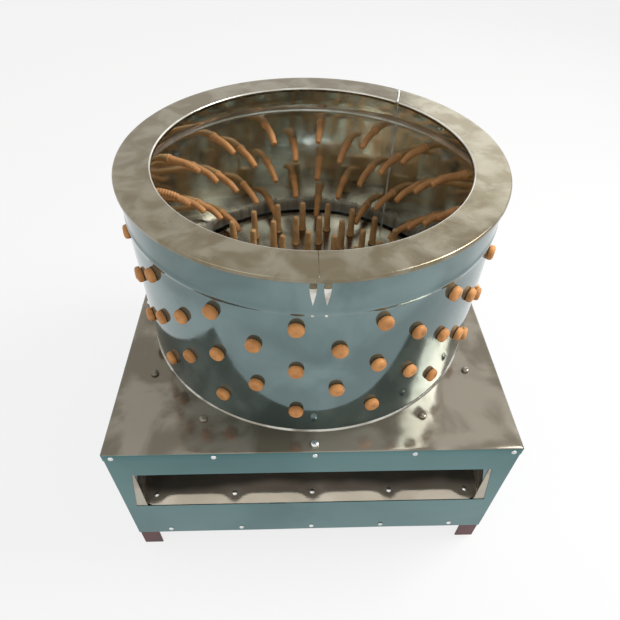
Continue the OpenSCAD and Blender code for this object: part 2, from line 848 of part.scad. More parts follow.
module main_shaft() {
    color("gray") rotate_extrude() polygon([[0, z_shaft_end], [shaft_low_d / 2, z_shaft_end],
        [shaft_low_d / 2, z_pulley_hub], [shaft_d / 2, z_pulley_hub], [shaft_d / 2, z_collar],
        [collar_shaft_d / 2, z_collar], [collar_shaft_d / 2, z_hub], [shaft_d / 2, z_hub],
        [shaft_d / 2, z_under], [thread_d / 2, z_under], [thread_d / 2, z_plate + nut_h],
        [0, z_plate + nut_h]]);
}

module at_flange_bolts() {
    for (sx = [-1, 1], sy = [-1, 1]) {
        translate([sx * flange_bolt_x, sy * flange_bolt_y, z_beam + flange_t]) children();
    }
}

module bearing_housing() {
    shoulder_r = tube_in_r - bearing_shoulder;
    color("steelblue") difference() {
        union() {
            translate([-flange_w / 2, -flange_w / 2, z_beam]) cube([flange_w, flange_w, flange_t]);
            translate([0, 0, z_beam]) cylinder(r = tube_r, h = z_tube - z_beam);
        }
        translate([0, 0, z_beam - eps]) cylinder(r = shoulder_r, h = z_tube - z_beam + 2 * eps);
        translate([0, 0, z_beam - eps])
            cylinder(r = tube_in_r, h = z_bearing_low + bearing_w - z_beam + eps);
        translate([0, 0, z_bearing_up]) cylinder(r = tube_in_r, h = z_tube - z_bearing_up + eps);
        at_flange_bolts() translate([0, 0, -flange_t - eps]) cylinder(d = bolt_d, h = flange_t + 2 * eps);
    }
}

// A race between two radii, with the balls' groove cut round it
module race(r0, r1) {
    for (z = [z_bearing_low, z_bearing_up]) translate([0, 0, z]) difference() {
        rotate_extrude() translate([r0, 0]) square([r1 - r0, bearing_w]);
        translate([0, 0, bearing_w / 2]) rotate_extrude() translate([ball_pitch_r, 0])
            circle(r = ball_r + run_gap);
    }
}

module bearing_outer_races() { color("silver") race(ball_pitch_r + race_gap, bearing_od / 2); }

module bearing_inner_races() { color("silver") race(shaft_d / 2 + seat_gap, ball_pitch_r - race_gap); }

module bearing_balls() {
    color("white") for (z = [z_bearing_low, z_bearing_up]) at_ring(ball_pitch_r, balls_n, 0)
        translate([0, 0, z + bearing_w / 2]) sphere(r = ball_r);
}

module shaft_seal() {
    color("black") translate([0, 0, z_tube - seal_h]) rotate_extrude() translate([shaft_d / 2 + run_gap, 0])
        square([tube_in_r - shaft_d / 2 - run_gap - seat_gap, seal_h]);
}

module bearing_bolts() {
    color("silver") at_flange_bolts() bolt(flange_t + rail_t);
}

// Half-width of a pulley's groove, measured off from the pitch line
function groove_half(off) = belt_w / 2 + free_gap + off * tan(groove_angle);

// A V-pulley's cross-section: rim with its groove, web and hub
module pulley(pitch_r, bore_r, hub_r1, z_hub_top) {
    rim_r = pitch_r + belt_h / 2 + wall_over;
    deep = belt_h / 2 + groove_deep;
    root_r = pitch_r - deep;
    inner_r = max(root_r - pulley_rim_t, hub_r1);
    rotate_extrude() difference() {
        union() {
            translate([inner_r, belt_z - pulley_w / 2]) square([rim_r - inner_r, pulley_w]);
            translate([bore_r, belt_z - pulley_web / 2]) square([inner_r - bore_r + eps, pulley_web]);
            translate([bore_r, belt_z - pulley_w / 2])
                square([hub_r1 - bore_r, z_hub_top - belt_z + pulley_w / 2]);
        }
        polygon([[root_r, belt_z - groove_half(-deep)],
            [rim_r + eps, belt_z - groove_half(rim_r + eps - pitch_r)],
            [rim_r + eps, belt_z + groove_half(rim_r + eps - pitch_r)],
            [root_r, belt_z + groove_half(-deep)]]);
    }
}

module driven_pulley() {
    color("dimgray") pulley(pulley_r, shaft_low_d / 2 + seat_gap, pulley_hub_r, z_pulley_hub);
}

// The bolt and washer that hold the driven pulley on the shaft
module pulley_bolt() {
    color("silver") {
        translate([0, 0, z_shaft_end - washer_t]) cylinder(r = pulley_hub_r - washer_t, h = washer_t);
        translate([0, 0, z_shaft_end - washer_t - bolt_head_h])
            cylinder(d = bolt_head_d, h = bolt_head_h, $fn = 6);
    }
}

// The belt's section as [radial, upwards] offsets from its pitch line, its sides parallel to the groove's
function belt_section() = let (half_in = groove_half(-belt_h / 2) - free_gap,
    half_out = groove_half(belt_h / 2) - free_gap)
    [[-belt_h / 2, -half_in], [belt_h / 2, -half_out], [belt_h / 2, half_out], [-belt_h / 2, half_in]];

// The belt's section at stations along an arc of the given pitch radius about a point on the Y axis
function belt_arc(y, r, from, turn) = let (n = ceil(turn / belt_step))
    [for (i = [0 : n]) for (q = belt_section())
        [(r + q[0]) * cos(from + i * turn / n), y + (r + q[0]) * sin(from + i * turn / n), belt_z + q[1]]];

module drive_belt() {
    points = concat(belt_arc(0, pulley_r, 180 - belt_lean, belt_wrap),
        belt_arc(motor_y, motor_pulley_r, belt_lean, 360 - belt_wrap));
    count = len(points);
    color("black") polyhedron(points = points, faces = [for (i = [0 : 4 : count - 4], k = [0 : 3])
        [i + k, i + (k + 1) % 4, (i + 4) % count + (k + 1) % 4, (i + 4) % count + k]]);
}

module at_motor() { translate([0, motor_y, 0]) children(); }

module at_plate_bolts() {
    for (sx = [-1, 1], sy = [-1, 1]) {
        translate([sx * flange_bolt_x, motor_y + sy * motor_bolt_y, z_motor]) children();
    }
}

module at_shield_bolts() {
    for (turn = [45 : 90 : 315]) at_motor() rotate([0, 0, turn])
        translate([shield_bolt_r, 0, z_casing]) children();
}

module motor_plate() {
    color("slategray") difference() {
        translate([-motor_plate_w / 2, motor_y - motor_plate_d / 2, z_beam])
            cube([motor_plate_w, motor_plate_d, motor_plate_t]);
        at_motor() translate([0, 0, z_beam - eps]) cylinder(r = motor_shaft_d, h = motor_plate_t + 2 * eps);
        at_plate_bolts() translate([0, 0, -motor_plate_t - eps])
            cylinder(d = bolt_d, h = motor_plate_t + 2 * eps);
        at_shield_bolts() translate([0, 0, -z_casing]) cylinder(d = shank_d, h = z_casing);
    }
}

// Four bolts hold the plate to the beams, and four screws hold the motor's shield to the plate
module motor_bolts() {
    color("silver") {
        at_plate_bolts() bolt(motor_plate_t + rail_t);
        at_shield_bolts() translate([0, 0, -shield_h - motor_plate_t]) {
            cylinder(d = shank_d, h = motor_plate_t + shield_h);
            translate([0, 0, -shank_d]) cylinder(d = 2 * shank_d, h = shank_d);
        }
    }
}

module motor_casing() {
    color("seagreen") at_motor() translate([0, 0, z_casing]) linear_extrude(casing_h) difference() {
        union() {
            circle(r = motor_r - fin_deep);
            for (i = [0 : fins_n - 1]) rotate(i * 360 / fins_n) translate([0, -1.5]) square([motor_r, 3]);
        }
        circle(r = casing_in_r);
    }
}

// The lower shield carries the motor on its plate, and the upper one closes the casing
module motor_end_shields() {
    bore_r = motor_shaft_d / 2 + run_gap;
    color("seagreen") difference() {
        at_motor() {
            translate([0, 0, z_motor]) cylinder(r = motor_r, h = shield_h);
            translate([0, 0, z_casing_top]) cylinder(r = motor_r - fin_deep, h = rear_shield_h);
        }
        at_motor() translate([0, 0, z_motor - eps])
            cylinder(r = bore_r, h = z_rear_shield - z_motor + 2 * eps);
        at_shield_bolts() translate([0, 0, -shield_h - eps]) cylinder(d = shank_d, h = shield_h + 2 * eps);
    }
}

module motor_stator() {
    color("sienna") at_motor() translate([0, 0, z_casing + (casing_h - core_h) / 2]) rotate_extrude()
        translate([casing_in_r - stator_w, 0]) square([stator_w - seat_gap, core_h]);
}

// The motor shaft with its rotor core
module motor_shaft() {
    color("silver") at_motor() {
        translate([0, 0, z_shaft_end])
            cylinder(d = motor_shaft_d, h = z_rear_shield + fan_h + shaft_past_fan - z_shaft_end);
        translate([0, 0, z_casing + (casing_h - core_h) / 2]) cylinder(r = core_r, h = core_h);
    }
}

module motor_fan() {
    hub = motor_shaft_d / 2 + motor_hub_wall;
    color("dimgray") at_motor() translate([0, 0, z_rear_shield + fan_lift]) difference() {
        union() {
            cylinder(r = fan_r, h = fan_t);
            cylinder(r = hub, h = fan_h);
            for (turn = [0 : 45 : 315]) rotate([0, 0, turn]) translate([hub - fan_t / 2, -fan_t / 2, 0])
                cube([fan_r - hub - fan_t, fan_t, fan_h]);
        }
        translate([0, 0, -eps]) cylinder(d = motor_shaft_d + 2 * seat_gap, h = fan_h + 2 * eps);
    }
}

module motor_fan_cover() {
    color("seagreen") at_motor() translate([0, 0, z_casing_top]) difference() {
        cylinder(r = cover_in_r + cover_t, h = cover_h);
        translate([0, 0, -eps]) cylinder(r = cover_in_r - 1, h = rear_shield_h + eps);
        translate([0, 0, rear_shield_h]) cylinder(r = cover_in_r, h = cover_h - rear_shield_h - cover_t);
        at_ring(0.62 * cover_in_r, vents_out_n, 0) cylinder(d = vents_out_d, h = cover_h + eps);
        at_ring(0.3 * cover_in_r, vents_in_n, 0) cylinder(d = vents_in_d, h = cover_h + eps);
    }
}

module motor_pulley() {
    color("dimgray") at_motor() pulley(motor_pulley_r, motor_shaft_d / 2 + seat_gap,
        motor_shaft_d / 2 + motor_hub_wall, belt_z + pulley_w / 2 + motor_hub_past);
}

module terminal_box() {
    color("seagreen") translate([motor_r, motor_y - box_d / 2, z_box]) cube([box_w, box_d, box_h]);
}

// The gland for the mains lead, under the terminal box
module cable_gland() {
    color("black") translate([motor_r + box_w / 2, motor_y, z_box]) difference() {
        union() {
            translate([0, 0, -gland_nut_h]) cylinder(r = gland_r, h = gland_nut_h, $fn = 6);
            translate([0, 0, -gland_nut_h - gland_cone_h])
                cylinder(r1 = gland_r * 0.6, r2 = gland_r * 0.85, h = gland_cone_h);
        }
        translate([0, 0, -gland_nut_h - gland_cone_h - 2 * eps])
            cylinder(r = gland_r * 0.4, h = gland_bore_h);
    }
}

module at_buttons() {
    for (z = [z_start, z_stop]) translate([face_w, 0, z]) rotate([0, 90, 0]) children();
}

// A bezel on the panel and a closed box behind it, bored for the two buttons
module switch_station() {
    box_half_w = switch_w / 2 - 2 * switch_wall - seat_gap;
    box_half_h = switch_h / 2 - 2 * switch_wall - seat_gap;
    well = button_cap_h + button_travel + free_gap;
    color("dimgray") difference() {
        union() {
            translate([face_w, -switch_w / 2, switch_mid - switch_h / 2])
                cube([bezel_t, switch_w, switch_h]);
            translate([face_w - switch_deep, -box_half_w, switch_mid - box_half_h])
                cube([switch_deep, 2 * box_half_w, 2 * box_half_h]);
        }
        at_buttons() {
            translate([0, 0, bezel_t - well]) cylinder(d = button_d + 2 * free_gap, h = well + eps);
            translate([0, 0, -switch_deep + switch_wall])
                cylinder(d = button_stem_d + 2 * free_gap, h = switch_deep);
        }
    }
}

// A push button: cap flush with the bezel and a stem behind it
module button() {
    stem_h = switch_deep - switch_wall - 2 * button_travel - button_cap_h;
    translate([0, 0, bezel_t - button_cap_h]) cylinder(d = button_d, h = button_cap_h);
    translate([0, 0, bezel_t - button_cap_h - stem_h]) cylinder(d = button_stem_d, h = stem_h);
}

module start_button() { color("green") translate([face_w, 0, z_start]) rotate([0, 90, 0]) button(); }

module stop_button() { color("red") translate([face_w, 0, z_stop]) rotate([0, 90, 0]) button(); }

top_plate();
front_panel();
rear_panel();
left_panel();
right_panel();
frame_legs();
frame_top_rails();
frame_bottom_rails();
frame_corner_braces();
chute_bars();
drive_beams();
chute_floor();
chute_sides();
chute_rivets();
skirt_rivets();
lower_rivets();
top_plate_bolts();
drum_wall();
drum_seam_strip();
rim_left();
rim_right();
wall_fingers_row_1();
wall_fingers_row_2();
wall_fingers_row_3();
wall_fingers_row_4();
wall_fingers_row_5();
feather_plate();
plate_fingers_outer();
plate_fingers_second();
plate_fingers_third();
plate_hub();
hub_bolts();
plate_nut();
sweep_blades();
main_shaft();
bearing_housing();
bearing_outer_races();
bearing_inner_races();
bearing_balls();
shaft_seal();
bearing_bolts();
driven_pulley();
pulley_bolt();
drive_belt();
motor_plate();
motor_bolts();
motor_casing();
motor_end_shields();
motor_stator();
motor_shaft();
motor_fan();
motor_fan_cover();
motor_pulley();
terminal_box();
cable_gland();
switch_station();
start_button();
stop_button();
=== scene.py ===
"""The looks of a drum poultry plucker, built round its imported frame.

Lengths are in metres, +Z is up, the drum stands on the Z axis and the feather outlet faces -Y.
"""

import logging
import math
import random
from collections.abc import Callable, Sequence
from dataclasses import dataclass
from enum import Enum
from typing import Any

import bmesh
import bpy
from mathutils import Matrix, Vector, noise


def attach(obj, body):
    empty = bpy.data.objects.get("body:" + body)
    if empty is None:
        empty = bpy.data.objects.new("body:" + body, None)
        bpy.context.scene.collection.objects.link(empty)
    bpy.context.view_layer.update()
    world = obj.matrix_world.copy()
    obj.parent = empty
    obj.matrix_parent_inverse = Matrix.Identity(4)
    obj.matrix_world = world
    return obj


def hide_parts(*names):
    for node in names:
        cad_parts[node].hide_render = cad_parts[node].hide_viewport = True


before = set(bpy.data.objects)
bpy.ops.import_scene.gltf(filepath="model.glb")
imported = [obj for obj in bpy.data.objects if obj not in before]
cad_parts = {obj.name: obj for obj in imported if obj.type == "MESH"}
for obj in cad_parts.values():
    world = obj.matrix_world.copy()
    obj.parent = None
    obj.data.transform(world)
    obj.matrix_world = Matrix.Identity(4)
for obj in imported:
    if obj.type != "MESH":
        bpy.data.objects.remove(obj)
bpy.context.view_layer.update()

LOG = logging.getLogger("plucker")
GROOVE = "groove"
FULL_TURN = 2 * math.pi
TOLERANCE = 1e-4
WHITE = (1.0, 1.0, 1.0)

# Sizes that several sub-assemblies share
DECK_Z = 0.338
DRUM_R = 0.300
OPENING_R = 0.2945
SHEET_T = 0.0015

# How corners and edges are eased: steps of a round, share of a sheet's thickness, bevel segments and angle
ROUND_STEPS = 4
SHEET_EASE = 0.3
EDGE_SEGMENTS = 2
EDGE_ANGLE = math.radians(50)

Colour = tuple[float, float, float]
Point2 = tuple[float, float]
Point3 = tuple[float, float, float]
Socket = bpy.types.NodeSocket
Rise = Callable[[float, float], float]
Mapping = Callable[[float, float, float], Vector]
Turning = Callable[[float], float]


class Body(Enum):
    """The bodies that pieces ride on."""

    HOUSING = "housing"
    ROTOR = "rotor"


class Slot(Enum):
    """Material slot names that new pieces are placed with."""

    HOUSING_STEEL = "housing_steel"
    RED_PRIMER = "red_primer"
    DRUM_STEEL = "drum_steel"
    FINGER_RUBBER = "finger_rubber"
    PLATE_STEEL = "plate_steel"
    BRIGHT_FASTENERS = "bright_fasteners"
    BLACK_RUBBER = "black_rubber"


class Value:
    """A number socket whose arithmetic adds Math nodes to its tree."""

    def __init__(self, tree: "Tree", socket: Socket) -> None:
        """Wraps one output socket of a tree."""
        self.tree = tree
        self.socket = socket

    def _math(self, operation: str, first: "Value | float", second: "Value | float") -> "Value":
        """Adds one Math node and gives its result."""
        made = self.tree.node("ShaderNodeMath", {"operation": operation}, {0: first, 1: second})
        return Value(self.tree, made.outputs[0])

    def __add__(self, other: "Value | float") -> "Value":
        """Self plus other."""
        return self._math("ADD", self, other)

    def __radd__(self, other: float) -> "Value":
        """Other plus self."""
        return self._math("ADD", other, self)

    def __sub__(self, other: "Value | float") -> "Value":
        """Self minus other."""
        return self._math("SUBTRACT", self, other)

    def __rsub__(self, other: float) -> "Value":
        """Other minus self."""
        return self._math("SUBTRACT", other, self)

    def __mul__(self, other: "Value | float") -> "Value":
        """Self times other."""
        return self._math("MULTIPLY", self, other)

    def __rmul__(self, other: float) -> "Value":
        """Other times self."""
        return self._math("MULTIPLY", other, self)

    def between(self, low: float, high: float) -> "Value":
        """Rises smoothly from 0 at low to 1 at high, or falls where low is the larger."""
        made = self.tree.node("ShaderNodeMapRange", {"interpolation_type": "SMOOTHSTEP"},
                              {"Value": self, "From Min": low, "From Max": high})
        return Value(self.tree, made.outputs[0])


class Tree:
    """A node tree and the few ways in which this script adds nodes to it."""

    def __init__(self, tree: bpy.types.NodeTree) -> None:
        """Takes over a tree and empties it."""
        self.tree = tree
        tree.nodes.clear()

    def node(self, kind: str, settings: dict[str, Any] | None = None,
             sockets: dict[int | str, Any] | None = None) -> bpy.types.Node:
        """Adds a node.

        Args:
            kind: The node's type name.
            settings: Its properties, set first.
            sockets: Input names or indices with numbers, colours, Values or sockets.

        Returns:
            The new node.
        """
        made = self.tree.nodes.new(kind)
        for name, value in (settings or {}).items():
            setattr(made, name, value)
        for key, value in (sockets or {}).items():
            entry = made.inputs[key]
            source = value.socket if isinstance(value, Value) else value
            if isinstance(source, Socket):
                self.tree.links.new(source, entry)
            elif entry.type == "RGBA":
                entry.default_value = (*source[:3], 1.0)
            else:
                entry.default_value = source
        return made

    def mix(self, share: Value | float, first: Any, second: Any) -> Socket:
        """Blends two colours; a share of 0 gives the first."""
        made = self.node("ShaderNodeMix", {"data_type": "RGBA"}, {0: share, 6: first, 7: second})
        return made.outputs[2]

    def light_path(self) -> Value:
        """Finds the rays that show the backdrop itself: straight, in metal or through a clear piece.

        Returns:
            1 for those rays and 0 for the others.
        """
        path = self.node("ShaderNodeLightPath")
        camera, mirrored, through = (Value(self, path.outputs[f"Is {kind} Ray"])
                                     for kind in ("Camera", "Glossy", "Transmission"))
        return camera + mirrored + through


class Surface(Tree):
    """A material's tree, with the textures that the finishes share."""

    def __init__(self, name: str) -> None:
        """Makes an empty material.

        Args:
            name: The material's name.
        """
        self.material = bpy.data.materials.new(name)
        self.material.use_nodes = True
        super().__init__(self.material.node_tree)
        self.place = self.node("ShaderNodeTexCoord").outputs["Object"]

    def stretched(self, scales: Point3) -> Socket:
        """The place in the frame, scaled along each axis."""
        made = self.node("ShaderNodeVectorMath", {"operation": "MULTIPLY"}, {0: self.place, 1: scales})
        return made.outputs[0]

    def along(self, axis: int) -> Value:
        """The place along one axis of the frame."""
        return Value(self, self.node("ShaderNodeSeparateXYZ", None, {0: self.place}).outputs[axis])

    def noise(self, scale: float, detail: float = 2.0, warp: float = 0.0, at: Socket | None = None) -> Value:
        """Adds noise from 0 to 1.

        Args:
            scale: Noise cells in a metre.
            detail: Octaves.
            warp: Distortion.
            at: Where it is read, or None for the place in the frame.

        Returns:
            The noise.
        """
        made = self.node("ShaderNodeTexNoise", None, {
            "Vector": at or self.place, "Scale": scale, "Detail": detail, "Distortion": warp})
        return Value(self, made.outputs[0])

    def spots(self, scale: float, size: float, core: float) -> Value:
        """Soft round spots, 1 within their cores."""
        made = self.node("ShaderNodeTexVoronoi", None, {"Vector": self.place, "Scale": scale})
        return Value(self, made.outputs["Distance"]).between(size, core)

    def groove(self) -> Value:
        """The mesh's own mask of grooves and creases."""
        return Value(self, self.node("ShaderNodeAttribute", {"attribute_name": GROOVE}).outputs["Fac"])

    def bump(self, relief: Value, depth: float) -> Socket:
        """A normal from a relief, whose full range is that deep."""
        return self.node("ShaderNodeBump", None, {"Height": relief, "Distance": depth}).outputs[0]

    def shader(self, base: Socket, roughness: Value, normal: Socket, metallic: Value | float = 0.0,
               coat: float = 0.0) -> None:
        """Ends the tree in a Principled shader.

        Args:
            base: Colour.
            roughness: Roughness.
            normal: Normal.
            metallic: Share of metal.
            coat: Weight of the clear coat.
        """
        made = self.node("ShaderNodeBsdfPrincipled", None, {
            "Base Color": base, "Roughness": roughness, "Normal": normal, "Metallic": metallic,
            "Coat Weight": coat})
        self.node("ShaderNodeOutputMaterial", None, {"Surface": made.outputs[0]})


@dataclass(frozen=True)
class Finish:
    """A named finish; each kind says how its nodes are wired."""

    name: str
    light: Colour
    dark: Colour

    def wire(self, surface: Surface) -> None:
        """Wires the finish's nodes."""
        raise NotImplementedError

    def material(self) -> bpy.types.Material:
        """Gives the finish's material, made on its first use.

        Returns:
            The material.
        """
        key = f"look_{self.name}"
        if key not in bpy.data.materials:
            self.wire(Surface(key))
        return bpy.data.materials[key]


@dataclass(frozen=True)
class Wear:
    """Worn patches of a sheet: where they are, their colour and how much they change the polish."""

    mask: Value
    tone: Socket
    cover: float = 0.9
    rough: float = 0.3
    matt: float = 0.7


@dataclass(frozen=True)
class PolishedSheet(Finish):
    """Bright stainless sheet: cloudy tone, fine polishing lines, smears and water spots."""

    roughness: float = 0.08
    metallic: float = 1.0
    cloud: float = 7.0
    contrast: float = 0.14
    cloud_relief: float = 0.5
    grain: Point3 = (30.0, 900.0, 900.0)
    line_rough: float = 0.05
    line_relief: float = 0.02
    smear: float = 0.10
    smear_cells: float = 23.0
    smear_range: Point2 = (0.48, 0.78)
    smear_relief: float = 0.03
    spot: float = 0.25
    spot_cells: float = 46.0
    spot_size: float = 0.16
    spot_core: float = 0.064
    spot_rough: float = 0.12
    patch_cells: float = 9.0
    patch_range: Point2 = (0.5, 0.7)
    depth: float = 0.0012

    def tone(self, surface: Surface, clouds: Value) -> Socket:
        """The sheet's colour, from its two tones."""
        return surface.mix(clouds.between(0.5 - self.contrast, 0.5 + self.contrast), self.dark, self.light)

    def wear(self, surface: Surface) -> Wear | None:
        """The sheet's worn patches, or None where it has kept its polish."""
        return None

    def wire(self, surface: Surface) -> None:
        """Wires the finish's nodes.

        Args:
            surface: The material's tree.
        """
        clouds = surface.noise(self.cloud, detail=4.0, warp=0.5)
        smears = surface.noise(self.smear_cells, detail=6.0, warp=0.6).between(*self.smear_range)
        lines = surface.noise(1.0, detail=3.0, at=surface.stretched(self.grain))
        patches = surface.noise(self.patch_cells).between(*self.patch_range)
        spots = surface.spots(self.spot_cells, self.spot_size, self.spot_core) * patches
        tone = self.tone(surface, clouds)
        rough = self.roughness + smears * self.smear + spots * self.spot_rough + lines * self.line_rough
        metallic: Value | float = self.metallic
        wear = self.wear(surface)
        if wear:
            tone = surface.mix(wear.mask * wear.cover, tone, wear.tone)
            rough = rough + wear.mask * wear.rough
            metallic = metallic * (1.0 - wear.mask * wear.matt)
        tone = surface.mix(spots * self.spot, tone, self.dark)
        relief = lines * self.line_relief + clouds * self.cloud_relief + smears * self.smear_relief
        surface.shader(tone, rough, surface.bump(relief, self.depth), metallic)


@dataclass(frozen=True)
class ScuffedWall(PolishedSheet):
    """Polished sheet that feathers have dulled in a ring level with the turning plate; the ring's streaked
    colour is a painted reflection.
    """

    scuff_and_reflection: Colour = (0.42, 0.385, 0.30)
    painted_reflection_dark: Colour = (0.20, 0.17, 0.12)
    streak: Point3 = (75.0, 75.0, 5.0)
    streak_range: Point2 = (0.36, 0.62)
    fray: float = 0.005
    ring_start: Point2 = (0.357, 0.363)
    ring_end: Point2 = (0.402, 0.378)

    def wear(self, surface: Surface) -> Wear:
        """Adds the scuffed ring, streaked upright as a painted reflection and frayed at its upper edge.

        Args:
            surface: The material's tree.

        Returns:
            The ring.
        """
        grain = surface.noise(1.0, detail=3.0, at=surface.stretched(self.streak))
        reflection_streaks = grain.between(*self.streak_range)
        height = surface.along(2)
        frayed = height + (reflection_streaks - 0.5) * self.fray
        ring = height.between(*self.ring_start) * frayed.between(*self.ring_end)
        # The ring's dark and light streaks are a painted reflection.
        return Wear(ring, surface.mix(reflection_streaks, self.painted_reflection_dark, self.scuff_and_reflection))


@dataclass(frozen=True)
class BackShadedSheet(PolishedSheet):
    """Polished sheet darkened towards the back with painted shade."""

    # The colour of the painted shade at the back of the sheet.
    stain_and_painted_shade: Colour = (0.10, 0.095, 0.08)
    cover: float = 0.85
    edge: Point2 = (-0.314, -0.296)
    wander: float = 0.05
    wander_cells: float = 6.0

    def tone(self, surface: Surface, clouds: Value) -> Socket:
        """Gives the sheet's colour, with painted shade behind a wandering line.

        Args:
            surface: The material's tree.
            clouds: The sheet's cloudy pattern.

        Returns:
            The colour.
        """
        wander = (surface.noise(self.wander_cells) - 0.5) * self.wander
        # Behind the wandering line the floor is mixed towards the painted shade.
        painted_shade_mask = (surface.along(1) + wander).between(*self.edge)
        return surface.mix(painted_shade_mask * self.cover, super().tone(surface, clouds), self.stain_and_painted_shade)


@dataclass(frozen=True)
class MouldedRubber(Finish):
    """Matt moulded rubber with painted shade in its grooves, with scuffs and a dusty bloom."""

    bloom: Colour = (0.74, 0.45, 0.24)
    bloom_share: float = 0.35
    roughness: float = 0.52
    scuff_rough: float = 0.18
    scuff_cells: float = 140.0
    scuff_range: Point2 = (0.58, 0.74)
    pore_rough: float = 0.08
    pore_cells: float = 900.0
    pore_relief: float = 0.6
    blotch_cells: float = 38.0
    blotch_range: Point2 = (0.3, 0.72)
    groove_shade: float = 0.75
    depth: float = 0.0003

    def with_inside_shade(self, surface: Surface, tone: Socket) -> Socket:
        """The colour with painted shade inside the drum wall; plain rubber keeps its own."""
        return tone

    def wire(self, surface: Surface) -> None:
        """Wires the finish's nodes.

        Args:
            surface: The material's tree.
        """
        blotches = surface.noise(self.blotch_cells, detail=4.0)
        pores = surface.noise(self.pore_cells)
        scuffs = surface.noise(self.scuff_cells, detail=5.0, warp=0.8).between(*self.scuff_range)
        # The groove mask darkens rib grooves, the neck under the head and the collar's foot as painted shade.
        shade = blotches.between(*self.blotch_range) * (1.0 - surface.groove() * self.groove_shade)
        tone = surface.mix(shade, self.dark, self.light)
        tone = self.with_inside_shade(surface, surface.mix(scuffs * self.bloom_share, tone, self.bloom))
        rough = self.roughness + scuffs * self.scuff_rough + pores * self.pore_rough
        relief = pores * self.pore_relief + blotches * (1.0 - self.pore_relief)
        surface.shader(tone, rough, surface.bump(relief, self.depth))


@dataclass(frozen=True)
class InsideShadedRubber(MouldedRubber):
    """Moulded rubber darkened with painted shade inside the drum wall."""

    inside_shade_tone: Colour = (0.40, 0.235, 0.105)
    share: float = 0.32
    wall_r: float = 0.2998
    fade: float = 0.0016

    def with_inside_shade(self, surface: Surface, tone: Socket) -> Socket:
        """Darkens the rubber within the wall's radius with painted shade.

        Args:
            surface: The material's tree.
            tone: The colour without the painted shade.

        Returns:
            The colour with the painted shade.
        """
        x, y = surface.along(0), surface.along(1)
        # Within the wall the rubber is mixed towards a darker brown as painted shade.
        inside = (x * x + y * y).between(self.wall_r ** 2, (self.wall_r - self.fade) ** 2)
        return surface.mix(inside * self.share, tone, self.inside_shade_tone)


@dataclass(frozen=True)
class BrushedPaint(Finish):
    """Brush or spray paint on steel: runs, dust, chips down to a second colour."""

    chip: Colour = (0.16, 0.12, 0.11)
    chip_cells: float = 75.0
    chip_range: Point2 = (0.68, 0.73)
    chip_rough: float = 0.15
    chip_relief: float = 0.6
    roughness: float = 0.5
    coat: float = 0.0
    cloud_cells: float = 17.0
    cloud_range: Point2 = (0.3, 0.7)
    cloud_rough: float = 0.12
    run: Point3 = (160.0, 160.0, 14.0)
    run_relief: float = 0.35
    peel_cells: float = 420.0
    peel_relief: float = 0.3
    depth: float = 0.0004

    def wire(self, surface: Surface) -> None:
        """Wires the finish's nodes.

        Args:
            surface: The material's tree.
        """
        clouds = surface.noise(self.cloud_cells, detail=4.0)
        runs = surface.noise(1.0, detail=3.0, at=surface.stretched(self.run))
        chips = surface.noise(self.chip_cells, detail=6.0, warp=0.4).between(*self.chip_range)
        peel = surface.noise(self.peel_cells, detail=1.0)
        tone = surface.mix(clouds.between(*self.cloud_range), self.dark, self.light)
        tone = surface.mix(chips, tone, self.chip)
        rough = self.roughness + clouds * self.cloud_rough + chips * self.chip_rough
        relief = runs * self.run_relief + peel * self.peel_relief - chips * self.chip_relief
        surface.shader(tone, rough, surface.bump(relief, self.depth), coat=self.coat)


@dataclass(frozen=True)
class BareMetal(Finish):
    """Turned, plated or cast metal with tool marks and a stain."""

    roughness: float = 0.3
    grain: float = 260.0
    depth: float = 0.0002
    mark_rough: float = 0.08
    stain_cells: float = 34.0
    stain_range: Point2 = (0.32, 0.66)
    stain_rough: float = 0.16

    def wire(self, surface: Surface) -> None:
        """Wires the finish's nodes.

        Args:
            surface: The material's tree.
        """
        stain_and_painted_shade = surface.noise(self.stain_cells, detail=5.0)
        marks = surface.noise(self.grain, detail=3.0)
        tone = surface.mix(stain_and_painted_shade.between(*self.stain_range), self.dark, self.light)
        rough = self.roughness + stain_and_painted_shade * self.stain_rough + marks * self.mark_rough
        surface.shader(tone, rough, surface.bump(marks, self.depth), metallic=1.0)


@dataclass(frozen=True)
class MouldedPlastic(Finish):
    """Moulded plastic with a fine spark-eroded grain and rubbed patches."""

    roughness: float = 0.42
    rub_gloss: float = 0.14
    rub_cells: float = 60.0
    rub_range: Point2 = (0.42, 0.7)
    grain_cells: float = 1500.0
    depth: float = 0.00015

    def wire(self, surface: Surface) -> None:
        """Wires the finish's nodes.

        Args:
            surface: The material's tree.
        """
        rubbed = surface.noise(self.rub_cells, detail=4.0).between(*self.rub_range)
        grain = surface.noise(self.grain_cells, detail=1.0)
        tone = surface.mix(rubbed, self.dark, self.light)
        surface.shader(tone, self.roughness - rubbed * self.rub_gloss, surface.bump(grain, self.depth))


DRUM_OUTSIDE = PolishedSheet("drum_outside", (0.197, 0.270, 0.272), (0.126, 0.180, 0.180), roughness=0.05,
                             smear=0.08, grain=(900.0, 900.0, 25.0), metallic=0.78)
DRUM_INSIDE = ScuffedWall("drum_inside", (0.80, 0.89, 0.86), (0.62, 0.71, 0.68), roughness=0.07,
                          grain=(900.0, 900.0, 25.0))
RIM_STEEL = PolishedSheet("rim", (0.300, 0.268, 0.200), (0.200, 0.166, 0.108), roughness=0.18, smear=0.2,
                          cloud=22.0, grain=(300.0, 300.0, 300.0), spot=0.6)
DECK_STEEL = PolishedSheet("deck", (0.305, 0.268, 0.212), (0.180, 0.153, 0.112), roughness=0.09, cloud=9.0,
                           contrast=0.08, metallic=0.5)
PANEL_STEEL = PolishedSheet("panel", (0.108, 0.200, 0.203), (0.072, 0.150, 0.153), cloud=3.0,
                            grain=(25.0, 900.0, 900.0))
